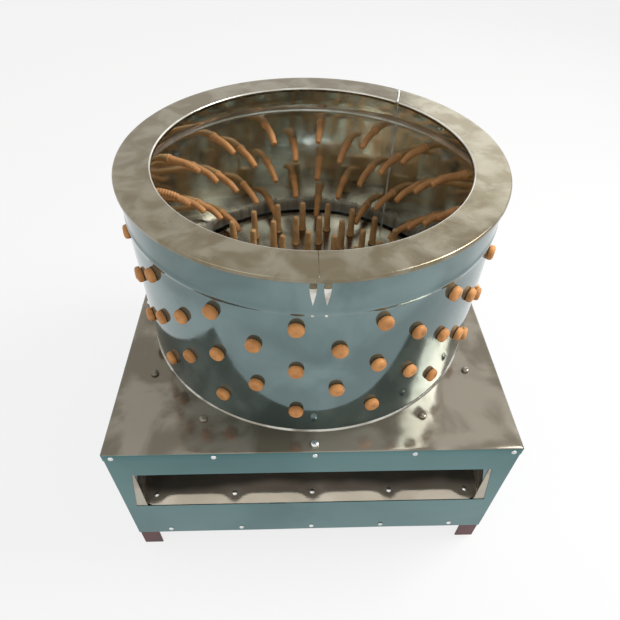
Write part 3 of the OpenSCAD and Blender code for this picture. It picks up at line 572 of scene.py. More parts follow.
CHUTE_STEEL = PolishedSheet("chute", (0.48, 0.43, 0.35), (0.34, 0.30, 0.24), roughness=0.14, cloud=11.0,
                            metallic=0.6)
# The chute floor is darkened towards the back with painted shade.
CHUTE_FLOOR = BackShadedSheet("chute_floor", (0.74, 0.66, 0.54), (0.50, 0.44, 0.34), roughness=0.09, cloud=9.0,
                       contrast=0.25, metallic=0.65)
PLATE_STEEL = PolishedSheet("feather_plate", (0.46, 0.40, 0.31), (0.28, 0.23, 0.165), roughness=0.2,
                            smear=0.2, cloud=14.0)
WELD_STEEL = PolishedSheet("weld", (0.80, 0.80, 0.76), (0.55, 0.55, 0.51), roughness=0.3, cloud=45.0,
                           metallic=0.5)
SEAM_STEEL = PolishedSheet("foot_seam", (0.58, 0.56, 0.50), (0.24, 0.22, 0.18), roughness=0.2, cloud=17.0,
                           contrast=0.12, metallic=0.85)
# A far brighter copy of the rim steel, laid on the rim's inner bend and the bead's inner crest as a painted
# highlight.
EDGE_HIGHLIGHT = PolishedSheet("rim_edge", (0.74, 0.72, 0.65), (0.50, 0.47, 0.40), roughness=0.12, cloud=12.0,
                           metallic=0.75)
RUN_STEEL = PolishedSheet("tack_run", (0.80, 0.79, 0.75), (0.46, 0.42, 0.35), roughness=0.16, cloud=40.0,
                          metallic=0.8)
# The dark tops of the tack runs, under the rim, are painted shade.
RUN_SHADE = PolishedSheet("tack_run_shade", (0.22, 0.185, 0.12), (0.12, 0.10, 0.065), roughness=0.2,
                          cloud=40.0)
# The finger shanks inside the drum take painted shade.
FINGER_RUBBER = InsideShadedRubber("finger_rubber", (0.82, 0.37, 0.115), (0.52, 0.215, 0.06),
                           bloom=(0.80, 0.45, 0.21))
UPRIGHT_RUBBER = MouldedRubber("upright_rubber", (0.62, 0.365, 0.155), (0.38, 0.205, 0.075),
                               bloom=(0.66, 0.44, 0.24))
RED_PRIMER = BrushedPaint("red_primer", (0.17, 0.052, 0.055), (0.085, 0.035, 0.04))
MOTOR_PAINT = BrushedPaint("motor_paint", (0.06, 0.17, 0.15), (0.035, 0.11, 0.10), roughness=0.34, coat=0.3)
PLATE_PAINT = BrushedPaint("plate_paint", (0.22, 0.24, 0.26), (0.14, 0.155, 0.17), roughness=0.4)
ZINC = BareMetal("zinc", (0.80, 0.81, 0.80), (0.58, 0.59, 0.58), roughness=0.16)
GROUND_STEEL = BareMetal("ground_steel", (0.62, 0.63, 0.64), (0.42, 0.43, 0.44), roughness=0.2, grain=700.0)
CAST_METAL = BareMetal("cast_metal", (0.19, 0.195, 0.2), (0.10, 0.105, 0.11), roughness=0.5, depth=0.0008)
VARNISH = BareMetal("varnished_iron", (0.30, 0.17, 0.08), (0.16, 0.09, 0.05), roughness=0.4)
BLACK_RUBBER = MouldedRubber("black_rubber", (0.035, 0.035, 0.035), (0.012, 0.012, 0.012),
                             bloom=(0.09, 0.085, 0.08))
BLACK_PLASTIC = MouldedPlastic("black_plastic", (0.04, 0.04, 0.045), (0.022, 0.022, 0.024))
GREEN_PLASTIC = MouldedPlastic("green_plastic", (0.05, 0.36, 0.11), (0.025, 0.22, 0.06), roughness=0.3)
RED_PLASTIC = MouldedPlastic("red_plastic", (0.52, 0.035, 0.03), (0.32, 0.018, 0.016), roughness=0.3)


def spread(low: float, high: float, count: int) -> list[float]:
    """Evenly spaced numbers from low to high, both included."""
    return [low + (high - low) * k / count for k in range(count + 1)]


def angles(count: int) -> list[float]:
    """Evenly spaced angles once round."""
    return spread(0.0, FULL_TURN, count)[:-1]


def polar(r: float, turn: float, z: float) -> Vector:
    """The point at a radius, an angle and a height."""
    return Vector((r * math.cos(turn), r * math.sin(turn), z))


def unevenness(x: float, y: float, seed: float, reach: float) -> float:
    """A smooth rise and fall from about -1 to 1, over distances of about reach."""
    return noise.noise(Vector((x / reach, y / reach, seed)))


class Shape:
    """Points and faces of one piece, gathered before they become a mesh."""

    def __init__(self) -> None:
        """Starts empty."""
        self.points: list[Vector] = []
        self.faces: list[list[int]] = []
        self.skins: list[int] = []
        self.marks: list[float] = []

    def grid(self, rows: Sequence[Sequence[Vector]], closed: bool = True,
             skins: Sequence[int] | None = None, marks: Sequence[float] | None = None) -> int:
        """Adds a grid of quads, whose rows are closed loops.

        Args:
            rows: Rows of as many points each.
            closed: Joins the last row to the first.
            skins: Material index of each strip between two points of a row.
            marks: Groove mask of each row.

        Returns:
            The index of the first point.
        """
        start, wide, tall = len(self.points), len(rows[0]), len(rows)
        for i, row in enumerate(rows):
            self.points.extend(row)
            self.marks.extend([marks[i] if marks else 0.0] * wide)
        for i in range(tall if closed else tall - 1):
            low, high = start + i * wide, start + (i + 1) % tall * wide
            for j in range(wide):
                after = (j + 1) % wide
                self.faces.append([low + j, low + after, high + after, high + j])
                self.skins.append(skins[j] if skins else 0)
        return start

    def tube(self, rings: Sequence[Sequence[Vector]], marks: Sequence[float] | None = None,
             skins: Sequence[int] | None = None) -> None:
        """Adds rings joined in order, with both ends closed.

        Args:
            rings: Rings of as many points each.
            marks: Groove mask of each ring.
            skins: Material index of each strip along the tube.
        """
        wide = len(rings[0])
        start = self.grid(rings, closed=False, skins=skins, marks=marks)
        last = start + (len(rings) - 1) * wide
        for first in (start, last):
            self.faces.append(list(range(first, first + wide)))
            self.skins.append(0)

    def lathe(self, profile: Sequence[Point2], at: Matrix, sides: int = 16) -> None:
        """Adds a turned solid: (radius, height) rings about the Z axis of a placed frame."""
        self.tube([[at @ polar(r, turn, z) for turn in angles(sides)] for r, z in profile])

    def lowest(self, face: Sequence[int]) -> float:
        """The height of a face's lowest point."""
        return min(self.points[i].z for i in face)

    def place(self, name: str, finishes: Sequence[Finish], body: Body, slot: Slot,
              nodes: Sequence[str] = (), smooth: float = 35.0) -> None:
        """Makes the piece's object, rides it on its body and reports it.

        Args:
            name: The piece's name.
            finishes: Finishes in the order of the skins.
            body: The body that it rides on.
            slot: The piece's material slot; not used.
            nodes: CAD nodes that it stands for.
            smooth: Greatest angle in degrees over which shading runs on.
        """
        mesh = bpy.data.meshes.new(name)
        mesh.from_pydata(self.points, [], self.faces)
        for finish in finishes:
            mesh.materials.append(finish.material())
        mesh.polygons.foreach_set("material_index", self.skins)
        mesh.attributes.new(GROOVE, "FLOAT", "POINT").data.foreach_set("value", self.marks)
        work = bmesh.new()
        work.from_mesh(mesh)
        bmesh.ops.recalc_face_normals(work, faces=work.faces)
        work.to_mesh(mesh)
        work.free()
        mesh.shade_smooth()
        mesh.set_sharp_from_angle(angle=math.radians(smooth))
        piece = bpy.data.objects.new(name, mesh)
        bpy.context.scene.collection.objects.link(piece)
        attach(piece, body.value)
        if nodes:
            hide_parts(*nodes)
        LOG.info("built %s: %d faces", name, len(mesh.polygons))


def round_corners(corners: Sequence[Point3], steps: int = ROUND_STEPS) -> list[Point2]:
    """Rounds a closed outline's corners.

    Args:
        corners: (x, y, radius) of each corner.
        steps: Steps along each round.

    Returns:
        The outline's points.
    """
    outline: list[Point2] = []
    for i, (x, y, radius) in enumerate(corners):
        here = Vector((x, y))
        back = (Vector(corners[i - 1][:2]) - here).normalized()
        ahead = (Vector(corners[(i + 1) % len(corners)][:2]) - here).normalized()
        half = back.angle(ahead) / 2
        middle = here + (back + ahead).normalized() * radius / math.sin(half)
        start = here + back * radius / math.tan(half) - middle
        end = here + ahead * radius / math.tan(half) - middle
        for share in spread(0.0, 1.0, steps):
            arm = start.lerp(end, share).normalized() * radius
            outline.append((middle.x + arm.x, middle.y + arm.y))
    return outline


def polygon_walk(corners: Sequence[Point2], per_side: int) -> list[Vector]:
    """Points once round a polygon, its corners included."""
    ends = [Vector(corner) for corner in corners]
    return [ends[i - 1].lerp(ends[i], k / per_side)
            for i in (*range(1, len(ends)), 0) for k in range(per_side)]


def rectangle_walk(x: Point2, y: Point2, per_side: int) -> list[Vector]:
    """Points once round a rectangle, its corners included, from its low corner."""
    return polygon_walk([(x[0], y[0]), (x[1], y[0]), (x[1], y[1]), (x[0], y[1])], per_side)


def ring_sheet(inner: Sequence[Vector], outer: Sequence[Vector], steps: int, thick: float,
               rise: Rise, world: Mapping) -> list[list[Vector]]:
    """Rows of a sheet between two outlines, with eased edges on both.

    Args:
        inner: The hole's outline.
        outer: The sheet's outline, with as many points.
        steps: Steps between the two.
        thick: Thickness.
        rise: Unevenness of the face at a place.
        world: Maps across, along and out of the sheet to the frame.

    Returns:
        One closed loop of points for each point of the outlines.
    """
    ease = SHEET_EASE * thick
    rows = []
    for near, far in zip(inner, outer):
        inset = ease / (far - near).length
        places = [near.lerp(far, s) for s in spread(inset, 1 - inset, steps)]
        face = [(p, rise(p.x, p.y)) for p in places]
        low, high = rise(near.x, near.y), rise(far.x, far.y)
        loop = [*face, (far, high - ease), (far, high - thick + ease)]
        loop += [(p, h - thick) for p, h in reversed(face)]
        loop += [(near, low - thick + ease), (near, low - ease)]
        rows.append([world(p.x, p.y, h) for p, h in loop])
    return rows


def dress(finish: Finish, nodes: Sequence[str], edge: float = 0.0) -> None:
    """Gives CAD nodes a finish.

    Args:
        finish: The finish.
        nodes: The nodes' names.
        edge: Width of their eased edges, or 0 to leave them sharp.
    """
    for name in nodes:
        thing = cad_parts[name]
        thing.data.materials.clear()
        thing.data.materials.append(finish.material())
        if edge:
            bevel = thing.modifiers.new("eased_edges", "BEVEL")
            bevel.width = edge
            bevel.segments = EDGE_SEGMENTS
            bevel.limit_method = "ANGLE"
            bevel.angle_limit = EDGE_ANGLE
        LOG.info("dressed %s as %s", name, finish.name)


@dataclass
class Housing:
    """The square base: top plate, panels and legs."""

    half_w: float = 0.332
    half_d: float = 0.340
    z_low: float = 0.050
    z_top: float = DECK_Z
    deck_t: float = 0.002
    sheet_t: float = SHEET_T
    opening_r: float = OPENING_R
    skirt: float = 0.016
    hem: float = 0.0005
    bend: float = 0.0032
    corner_r: float = 0.0012
    corner_steps: int = 5
    side_steps: int = 56
    deck_steps: int = 18
    fold_steps: int = 5
    back_steps: int = 3
    wave: float = 0.0011
    wave_reach: float = 0.11
    ripple: float = 0.0004
    ripple_reach: float = 0.045
    sink: float = 0.0003
    edge_fade: float = 0.05
    drum_seat: float = 0.006
    drum_fade: float = 0.03
    slot_z: Point2 = (0.161, 0.272)
    slot_half: Point2 = (0.312, 0.297)
    front_reach: float = 0.13
    front_steps: tuple[int, int] = (48, 12)
    panel_reach: float = 0.14
    panel_steps: tuple[int, int] = (40, 16)
    switch_z: float = 0.160
    switch_cut: Point2 = (0.024, 0.042)
    pin_z: float = 0.2
    pin_half: float = 0.004
    leg_w: float = 0.035
    leg_t: float = 0.004
    leg_top: float = 0.333
    leg_heel_r: float = 0.0006
    leg_edge_r: float = 0.0008
    leg_toe_r: float = 0.003
    leg_root_r: float = 0.004
    leg_taper: float = 0.985
    leg_chamfer: float = 0.0006
    primer_top: float = 0.058

    def build(self) -> None:
        """Builds and dresses every piece of the base."""
        self.top_plate()
        self.front_panel()
        self.side_panels()
        self.legs()
        dress(RED_PRIMER, ["frame_top_rails", "frame_bottom_rails", "frame_corner_braces", "chute_bars",
                           "drive_beams"], edge=0.0006)

    def deck_rise(self, x: float, y: float) -> float:
        """Gives the top plate's unevenness, fading out at its edges and at the drum.

        Args:
            x: Place across.
            y: Place from front to back.

        Returns:
            The rise.
        """
        inside = min(self.half_w - abs(x), self.half_d - abs(y))
        beside = math.hypot(x, y) - self.opening_r - self.drum_seat
        fade = min(1.0, inside / self.edge_fade) * min(1.0, max(0.0, beside) / self.drum_fade)
        wave = self.wave * unevenness(x, y, seed=3.7, reach=self.wave_reach)
        ripple = self.ripple * unevenness(x, y, seed=9.1, reach=self.ripple_reach)
        return fade * (wave + ripple - self.sink)

    def deck_outline(self) -> list[tuple[Vector, Vector]]:
        """Walks round the flat of the top plate.

        Returns:
            Points, each with its outward direction.
        """
        flat_w, flat_d, corner = self.half_w - self.bend, self.half_d - self.bend, self.corner_r
        corners = [(sx * flat_w, sy * flat_d, corner) for sx, sy in ((-1, -1), (1, -1), (1, 1), (-1, 1))]
        edge = [Vector(point) for point in round_corners(corners, self.corner_steps)]
        outline = []
        for i, here in enumerate(edge):
            middle = Vector((math.copysign(flat_w - corner, here.x), math.copysign(flat_d - corner, here.y)))
            outline.append((here, (here - middle).normalized()))
            if i % (self.corner_steps + 1) == self.corner_steps:
                after = edge[(i + 1) % len(edge)]
                outward = Vector((after.y - here.y, here.x - after.x)).normalized()
                outline += [(here.lerp(after, s), outward) for s in spread(0.0, 1.0, self.side_steps)[1:-1]]
        return outline

    def skirt_profile(self) -> list[Point2]:
        """Follows the sheet round its fold, down to the hem and up again behind.

        Returns:
            (distance outwards, height) of each point.
        """
        bend, hem, under = self.bend, self.hem, self.bend - self.deck_t
        fold_z, hem_z = self.z_top - bend, self.z_top - self.skirt
        down, up = spread(math.pi / 2, 0.0, self.fold_steps)[1:], spread(0.0, math.pi / 2, self.back_steps)
        fold = [(bend * math.cos(a), fold_z + bend * math.sin(a)) for a in down]
        edge = [(bend, hem_z + hem), (bend - hem, hem_z), (under + hem, hem_z), (under, hem_z + hem)]
        back = [(under * math.cos(a), fold_z + under * math.sin(a)) for a in up]
        return fold + edge + back

    def top_plate(self) -> None:
        """The sheet round the drum, folded down into a skirt on four sides."""
        skirt = self.skirt_profile()
        rows = []
        for here, outward in self.deck_outline():
            hole = here.normalized() * self.opening_r
            across = [hole.lerp(here, s) for s in spread(0.0, 1.0, self.deck_steps)]
            flat = [(*p, self.deck_rise(*p)) for p in across]
            loop = [(x, y, self.z_top + rise) for x, y, rise in flat]
            loop += [(*(here + outward * out), z) for out, z in skirt]
            loop += [(x, y, self.z_top - self.deck_t + rise) for x, y, rise in reversed(flat[:-1])]
            rows.append([Vector(p) for p in loop])
        folded = range(len(flat) + 1, len(flat) + len(skirt))
        shape = Shape()
        shape.grid(rows, skins=[int(j in folded) for j in range(len(rows[0]))])
        shape.place("top_plate_sheet", [DECK_STEEL, PANEL_STEEL], Body.HOUSING, Slot.HOUSING_STEEL,
                    ["top_plate"])

    def panel_rise(self, seed: float, reach: float) -> Rise:
        """The unevenness of a panel, which nowhere stands proud of its face."""
        return lambda across, up: self.ripple * unevenness(across, up, seed, reach) - self.ripple

    def front_panel(self) -> None:
        """The front sheet with its wide outlet."""
        face_w, face_y = self.half_w - self.deck_t, -(self.half_d - self.deck_t)
        low, high = self.slot_z
        wide, narrow = self.slot_half
        along, between = self.front_steps
        slot = polygon_walk([(-wide, low), (wide, low), (narrow, high), (-narrow, high)], along)
        edge = rectangle_walk((-face_w, face_w), (self.z_low, self.z_top - self.deck_t), along)
        rows = ring_sheet(slot, edge, between, self.sheet_t, self.panel_rise(5.5, self.front_reach),
                          lambda x, z, out: Vector((x, face_y - out, z)))
        shape = Shape()
        shape.grid(rows)
        shape.place("front_panel_sheet", [PANEL_STEEL], Body.HOUSING, Slot.HOUSING_STEEL, ["front_panel"])

    def side_panels(self) -> None:
        """The rear sheet and both side sheets; the right one is cut out for the switch."""
        face_w, face_d = self.half_w - self.deck_t, self.half_d - self.deck_t
        inner_d = face_d - self.sheet_t
        tall = (self.z_low, self.z_top - self.deck_t)
        pin, (cut_w, cut_h) = self.pin_half, self.switch_cut
        blank = (-pin, pin), (self.pin_z - pin, self.pin_z + pin)
        switch = (-cut_w, cut_w), (self.switch_z - cut_h, self.switch_z + cut_h)
        sheets: list[tuple[str, float, tuple[Point2, Point2], Mapping, float]] = [
            ("rear_panel", face_w, blank, lambda a, z, out: Vector((a, face_d + out, z)), 2.2),
            ("left_panel", inner_d, blank, lambda a, z, out: Vector((-face_w - out, a, z)), 6.4),
            ("right_panel", inner_d, switch, lambda a, z, out: Vector((face_w + out, a, z)), 8.8)]
        along, between = self.panel_steps
        for node, half, hole, world, seed in sheets:
            inner, outer = rectangle_walk(*hole, along), rectangle_walk((-half, half), tall, along)
            rows = ring_sheet(inner, outer, between, self.sheet_t, self.panel_rise(seed, self.panel_reach),
                              world)
            shape = Shape()
            shape.grid(rows)
            if hole is blank:
                self.close_hole(shape, len(rows), len(rows[0]))
            shape.place(f"{node}_sheet", [PANEL_STEEL], Body.HOUSING, Slot.HOUSING_STEEL, [node])

    @staticmethod
    def close_hole(shape: Shape, rows: int, wide: int) -> None:
        """Drops a ring sheet's inner edge and closes both of its faces.

        Args:
            shape: The shape that holds the ring sheet alone.
            rows: How many rows it has.
            wide: How many points each row has.
        """
        edge = (wide - 2, wide - 1)
        shape.faces = [face for face in shape.faces if not any(i % wide in edge for i in face)]
        for first in (0, wide - 3):
            shape.faces.append([i * wide + first for i in range(rows)])
        shape.skins = [0] * len(shape.faces)

    def legs(self) -> None:
        """Four angle-iron legs with a rolled root and rounded toes, primed at the foot alone."""
        in_w = self.half_w - self.deck_t - self.sheet_t
        in_d = self.half_d - self.deck_t - self.sheet_t
        w, t, toe, edge = self.leg_w, self.leg_t, self.leg_toe_r, self.leg_edge_r
        section = round_corners([(0, 0, self.leg_heel_r), (-w, 0, edge), (-w, -t, toe),
                                 (-t, -t, self.leg_root_r), (-t, -w, toe), (0, -w, edge)])
        cuts = ((0.0, self.leg_taper), (self.leg_chamfer, 1.0), (self.primer_top, 1.0), (self.leg_top, 1.0))
        shape = Shape()
        for sx in (-1, 1):
            for sy in (-1, 1):
                shape.tube([[Vector((sx * (in_w + x * s), sy * (in_d + y * s), z)) for x, y in section]
                            for z, s in cuts])
        shape.skins = [int(shape.lowest(face) > self.primer_top - TOLERANCE) for face in shape.faces]
        shape.place("angle_legs", [RED_PRIMER, CHUTE_STEEL], Body.HOUSING, Slot.RED_PRIMER, ["frame_legs"])


@dataclass
class Chute:
    """The sloped feather chute behind the outlet."""

    half: float = 0.3035
    y_front: float = -0.33215
    y_rear: float = 0.33215
    z_front: float = 0.161
    z_rear: float = 0.324
    thick: float = SHEET_T
    tube_hole: float = 0.03837
    apron: float = 0.0037
    apron_half: float = 0.2875
    steps: tuple[int, int] = (64, 40)
    dimple: float = 0.0006
    dimple_spread: float = 0.00030
    swell: float = 0.0018
    swell_from: float = 0.012
    swell_y: float = 0.02
    swell_reach: float = 0.06
    ripple: float = 0.0002
    ripple_reach: float = 0.08
    rivet_back: float = 0.015
    rivet_x: float = 0.280
    rivet_count: int = 5

    @property
    def slope(self) -> float:
        """The floor's slope in radians."""
        return math.atan2(self.z_rear - self.z_front, self.y_rear - self.y_front)

    @property
    def placing(self) -> Matrix:
        """Maps across, up the slope and out of the floor to the frame."""
        return Matrix.Translation((0, self.y_front, self.z_front)) @ Matrix.Rotation(self.slope, 4, "X")

    def build(self) -> None:
        """Builds the floor and dresses the side plates."""
        placing = self.placing
        length = (self.y_rear - self.y_front) / math.cos(self.slope)
        middle = Vector((0, -self.y_front / math.cos(self.slope)))
        along, between = self.steps
        outer = rectangle_walk((-self.half, self.half), (0.0, length), along)
        for p in outer:
            if p.y == 0.0 and abs(p.x) < self.apron_half:
                p.y = -self.apron
        inner = [middle + (p - middle).normalized() * self.tube_hole for p in outer]
        rows = ring_sheet(inner, outer, between, self.thick, self.rise,
                          lambda x, y, out: placing @ Vector((x, y, out)))
        shape = Shape()
        shape.grid(rows)
        shape.place("chute_floor_sheet", [CHUTE_FLOOR], Body.HOUSING, Slot.HOUSING_STEEL, ["chute_floor"])
        dress(CHUTE_STEEL, ["chute_sides"], edge=0.0004)

    def rivet_row(self) -> list[float]:
        """The floor's rivets from left to right."""
        return spread(-self.rivet_x, self.rivet_x, self.rivet_count - 1)

    def rivets(self) -> list[Matrix]:
        """Where the floor's rivets stand, with Z out of the pressed sheet."""
        return [self.placing @ Matrix.Translation((x, self.rivet_back, -self.dimple))
                for x in self.rivet_row()]

    def rise(self, x: float, y: float) -> float:
        """Gives the floor's unevenness: held down at its rivets, swelling between and behind them.

        Args:
            x: Place across.
            y: Place up the slope.

        Returns:
            The rise.
        """
        held = sum(math.exp(-((x - at) ** 2 + (y - self.rivet_back) ** 2) / self.dimple_spread)
                   for at in self.rivet_row())
        crest = math.exp(-((y - self.swell_y) / self.swell_reach) ** 2)
        swell = min(1.0, max(0.0, y) / self.swell_from) * crest * max(0.0, 1.0 - held)
        ripple = self.ripple * unevenness(x, y, seed=1.3, reach=self.ripple_reach)
        return self.swell * swell - self.dimple * held + ripple


@dataclass
class Drum:
    """The rolled drum wall, its rim in two segments and the tack runs under the front joint."""

    outer_r: float = DRUM_R
    sheet_t: float = SHEET_T
    z_low: float = DECK_Z
    z_wall: float = 0.664
    wall_sides: int = 320
    wall_steps: tuple[int, int, int] = (20, 10, 4)
    foot_r: float = OPENING_R
    foot_bend: float = 0.004
    foot_lift: float = 0.0001
    heel: Point2 = (0.0006, 0.003)
    fillet: tuple[Point2, ...] = ((0.0026, 0.0001), (0.0022, 0.0011), (0.0011, 0.0022), (0.0, 0.0028))
    bead_z: float = 0.606
    bead: float = 0.0016
    bead_half: float = 0.0085
    crest_highlight_share: float = 0.15
    sway: float = 0.0005
    sway_cells: Point2 = (2.6, 6.0)
    flute: float = 0.00016
    flute_cells: Point2 = (11.0, 3.0)
    true_foot: float = 0.01
    foot_fade: float = 0.06
    top_fade: float = 0.03
    rim_in: float = 0.250
    rim_out: float = 0.3053
    rim_top: float = 0.6656
    rim_t: float = 0.002
    rim_lip: float = 0.007
    rim_bend: float = 0.0024
    rim_edge_r: float = 0.0007
    rim_root_r: float = 0.0006
    rim_sway: float = 0.00035
    rim_cells: float = 9.0
    rim_seed: float = 4.4
    rim_bands: int = 7
    rim_steps: int = 150
    joint_front: float = math.radians(-90.5)
    joint_outer: float = math.radians(55.0)
    joint_inner: float = math.radians(49.5)
    joint_gap: float = 0.0004
    rear_gap: float = 0.0030
    weld_half: float = 0.0021
    weld_ends: Point2 = (0.0005, 0.0008)
    weld_steps: int = 26
    weld_sides: int = 10
    weld_reach: float = 0.006
    weld_ripple: float = 0.0003
    weld_h: float = 0.0009
    weld_sink: float = 0.0006
    lap_turn: float = math.radians(53.7)
    lap_half: float = 0.0023
    lap_steps: int = 40
    lap_reach: float = 0.008
    lap_ripple: float = 0.0004
    lap_h: float = 0.0018
    lap_root: float = 0.0006
    run_x: Point2 = (-0.0095, 0.0082)
    run_z: Point2 = (0.6175, 0.6585)
    run_half: float = 0.0048
    run_tip: float = 0.03
    run_shoulder: float = 0.16
    run_flat: float = 0.4
    run_swell: float = 0.8
    run_steps: int = 14
    run_sides: int = 12
    run_shade_z: float = 0.6465
    spot_z: float = 0.600
    spot: tuple[Point2, ...] = ((0.0024, -0.0008), (0.0024, 0.0002), (0.0019, 0.0008), (0.0010, 0.0011),
                                (0.0002, 0.0012))

    def build(self) -> None:
        """Builds and dresses every piece of the drum."""
        self.wall()
        self.rim("rim_left_segment", "rim_left", self.joint_rear, self.joint_front_left)
        self.rim("rim_right_segment", "rim_right", self.joint_front_right, self.joint_rear_right)
        self.weld_line()
        self.lap_edge()
        self.tack_runs()
        dress(DRUM_INSIDE, ["drum_seam_strip"])

    def bulge(self, z: float) -> float:
        """How far the pressed bead stands out at a height."""
        away = abs(z - self.bead_z) / self.bead_half
        return self.bead * (0.5 + 0.5 * math.cos(math.pi * away)) if away < 1 else 0.0

    def wall_point(self, r: float, turn: float, z: float) -> Vector:
        """Gives a point of the wall, which sways a little and is faintly fluted inside.

        Args:
            r: Radius of the true wall.
            turn: Angle.
            z: Height.

        Returns:
            The point.
        """
        above, below = max(0.0, z - self.z_low - self.true_foot), max(0.0, self.z_wall - z)
        fade = min(1.0, above / self.foot_fade, below / self.top_fade)
        far = self.sway * noise.noise(polar(self.sway_cells[0], turn, z * self.sway_cells[1]))
        if r < self.outer_r:
            far += self.flute * noise.noise(polar(self.flute_cells[0], turn, z * self.flute_cells[1]))
        return polar(r + fade * far, turn, z)

    def wall(self) -> None:
        """The wall, with its in-turned foot, seam fillet and bead."""
        inner_r = self.outer_r - self.sheet_t
        bead_low, bead_high = self.bead_z - self.bead_half, self.bead_z + self.bead_half
        below, within, above = self.wall_steps
        heights = [*spread(self.z_low + self.foot_bend, bead_low, below),
                   *spread(bead_low, bead_high, within)[1:], *spread(bead_high, self.z_wall, above)[1:]]
        fillet = [(self.outer_r + out, self.z_low + up) for out, up in self.fillet]
        outside = [(self.outer_r + self.bulge(z), z) for z in heights]
        inside = [(inner_r + self.bulge(z), z) for z in reversed(heights)]
        sheet_z, (heel_in, heel_up) = self.z_low + self.sheet_t, self.heel
        foot = [(inner_r, self.z_low + heel_up), (inner_r - heel_in, sheet_z), (self.foot_r, sheet_z),
                (self.foot_r, self.z_low + self.foot_lift)]
        profile = fillet + outside + inside + foot
        outer, inner, seam, bead_crest_highlight = range(4)
        skins = [seam] * (len(fillet) - 1) + [outer] * len(outside) + [inner]
        # Where the bead stands out, its inner crest takes the bright edge finish as a painted highlight.
        skins += [bead_crest_highlight if self.bulge(z) > self.crest_highlight_share * self.bead else inner for _, z in inside]
        skins += [inner] * len(foot)
        shape = Shape()
        shape.grid([[self.wall_point(r, turn, z) for r, z in profile] for turn in angles(self.wall_sides)],
                   skins=skins)
        shape.place("drum_wall_sheet", [DRUM_OUTSIDE, DRUM_INSIDE, SEAM_STEEL, EDGE_HIGHLIGHT], Body.HOUSING,
                    Slot.DRUM_STEEL, ["drum_wall"])

    def joint_rear(self, r: float) -> float:
        """The skewed rear joint's angle at a radius, on the left segment's side."""
        share = (r - self.rim_in) / (self.rim_out - self.rim_in)
        return self.joint_inner + (self.joint_outer - self.joint_inner) * share + self.rear_gap / r

    def joint_rear_right(self, r: float) -> float:
        """The same joint on the right segment's side."""
        return self.joint_rear(r) - 2 * self.rear_gap / r

    def joint_front_left(self, r: float) -> float:
        """The straight front joint's angle on the left segment's side."""
        return self.joint_front + FULL_TURN - self.joint_gap / r

    def joint_front_right(self, r: float) -> float:
        """The same joint on the right segment's side."""
        return self.joint_front + self.joint_gap / r

    def rim(self, name: str, node: str, start: Turning, end: Turning) -> None:
        """Builds one rim segment: a flat ring with both edges turned down.

        Args:
            name: The piece's name.
            node: The CAD node that it stands for.
            start: The angle of its first end at a radius.
            end: The angle of its last end at a radius.
        """
        inner, outer, t, lip = self.rim_in, self.rim_out, self.rim_t, self.rim_lip
        bend, edge, root = self.rim_bend, self.rim_edge_r, self.rim_root_r
        rounded = round_corners([(inner, 0.0, bend), (outer, 0.0, bend), (outer, -lip, edge),
                                 (outer - t, -lip, edge), (outer - t, -t, root), (inner + t, -t, root),
                                 (inner + t, -lip, edge), (inner, -lip, edge)])
        flat = [(r, 0.0) for r in spread(inner, outer, self.rim_bands)[1:-1]]
        section = rounded[:ROUND_STEPS + 1] + flat + rounded[ROUND_STEPS + 1:]
        rings = []
        for share in spread(0.0, 1.0, self.rim_steps):
            ring = []
            for r, drop in section:
                turn = start(r) + (end(r) - start(r)) * share
                sway = self.rim_sway * noise.noise(polar(self.rim_cells * r, turn, self.rim_seed))
                ring.append(polar(r, turn, self.rim_top + drop + sway))
            rings.append(ring)
        shape = Shape()
        # The rim's inner bend takes the bright edge finish as a painted highlight.
        shape.tube(rings, skins=[int(j < ROUND_STEPS) for j in range(len(section))])
        shape.place(name, [RIM_STEEL, EDGE_HIGHLIGHT], Body.HOUSING, Slot.DRUM_STEEL, [node])

    def weld_line(self) -> None:
        """The bright run of weld along the skewed rear joint."""
        rings = []
        near, far = self.rim_in + self.weld_ends[0], self.rim_out - self.weld_ends[1]
        for r in spread(near, far, self.weld_steps):
            turn = self.joint_rear(r) - self.rear_gap / r
            middle = polar(r, turn, self.rim_top - self.weld_sink)
            aside = Vector((-math.sin(turn), math.cos(turn), 0.0))
            half = self.weld_half + self.weld_ripple * unevenness(r, 0.0, seed=7.7, reach=self.weld_reach)
            rings.append([middle + aside * half * math.cos(a) + Vector((0, 0, self.weld_h)) * math.sin(a)
                          for a in angles(self.weld_sides)])
        shape = Shape()
        shape.tube(rings)
        shape.place("rim_weld_line", [WELD_STEEL], Body.HOUSING, Slot.DRUM_STEEL, smooth=60.0)

    def lap_edge(self) -> None:
        """The weld that runs down the inner wall along the edge of the lap, below and above the bead."""
        inner_r = self.outer_r - self.sheet_t
        shape = Shape()
        for low, high in ((self.z_low + self.foot_bend, self.bead_z - self.bead_half),
                          (self.bead_z + self.bead_half, self.z_wall)):
            rings = []
            for z in spread(low, high, self.lap_steps):
                half = self.lap_half + self.lap_ripple * unevenness(z, 0.0, seed=1.9, reach=self.lap_reach)
                rings.append([polar(inner_r - max(-self.lap_root, self.lap_h * math.sin(a)),
                                    self.lap_turn + half * math.cos(a) / inner_r, z)
                              for a in angles(self.weld_sides)])
            shape.tube(rings)
        shape.place("drum_lap_edge", [WELD_STEEL], Body.HOUSING, Slot.DRUM_STEEL, smooth=60.0)

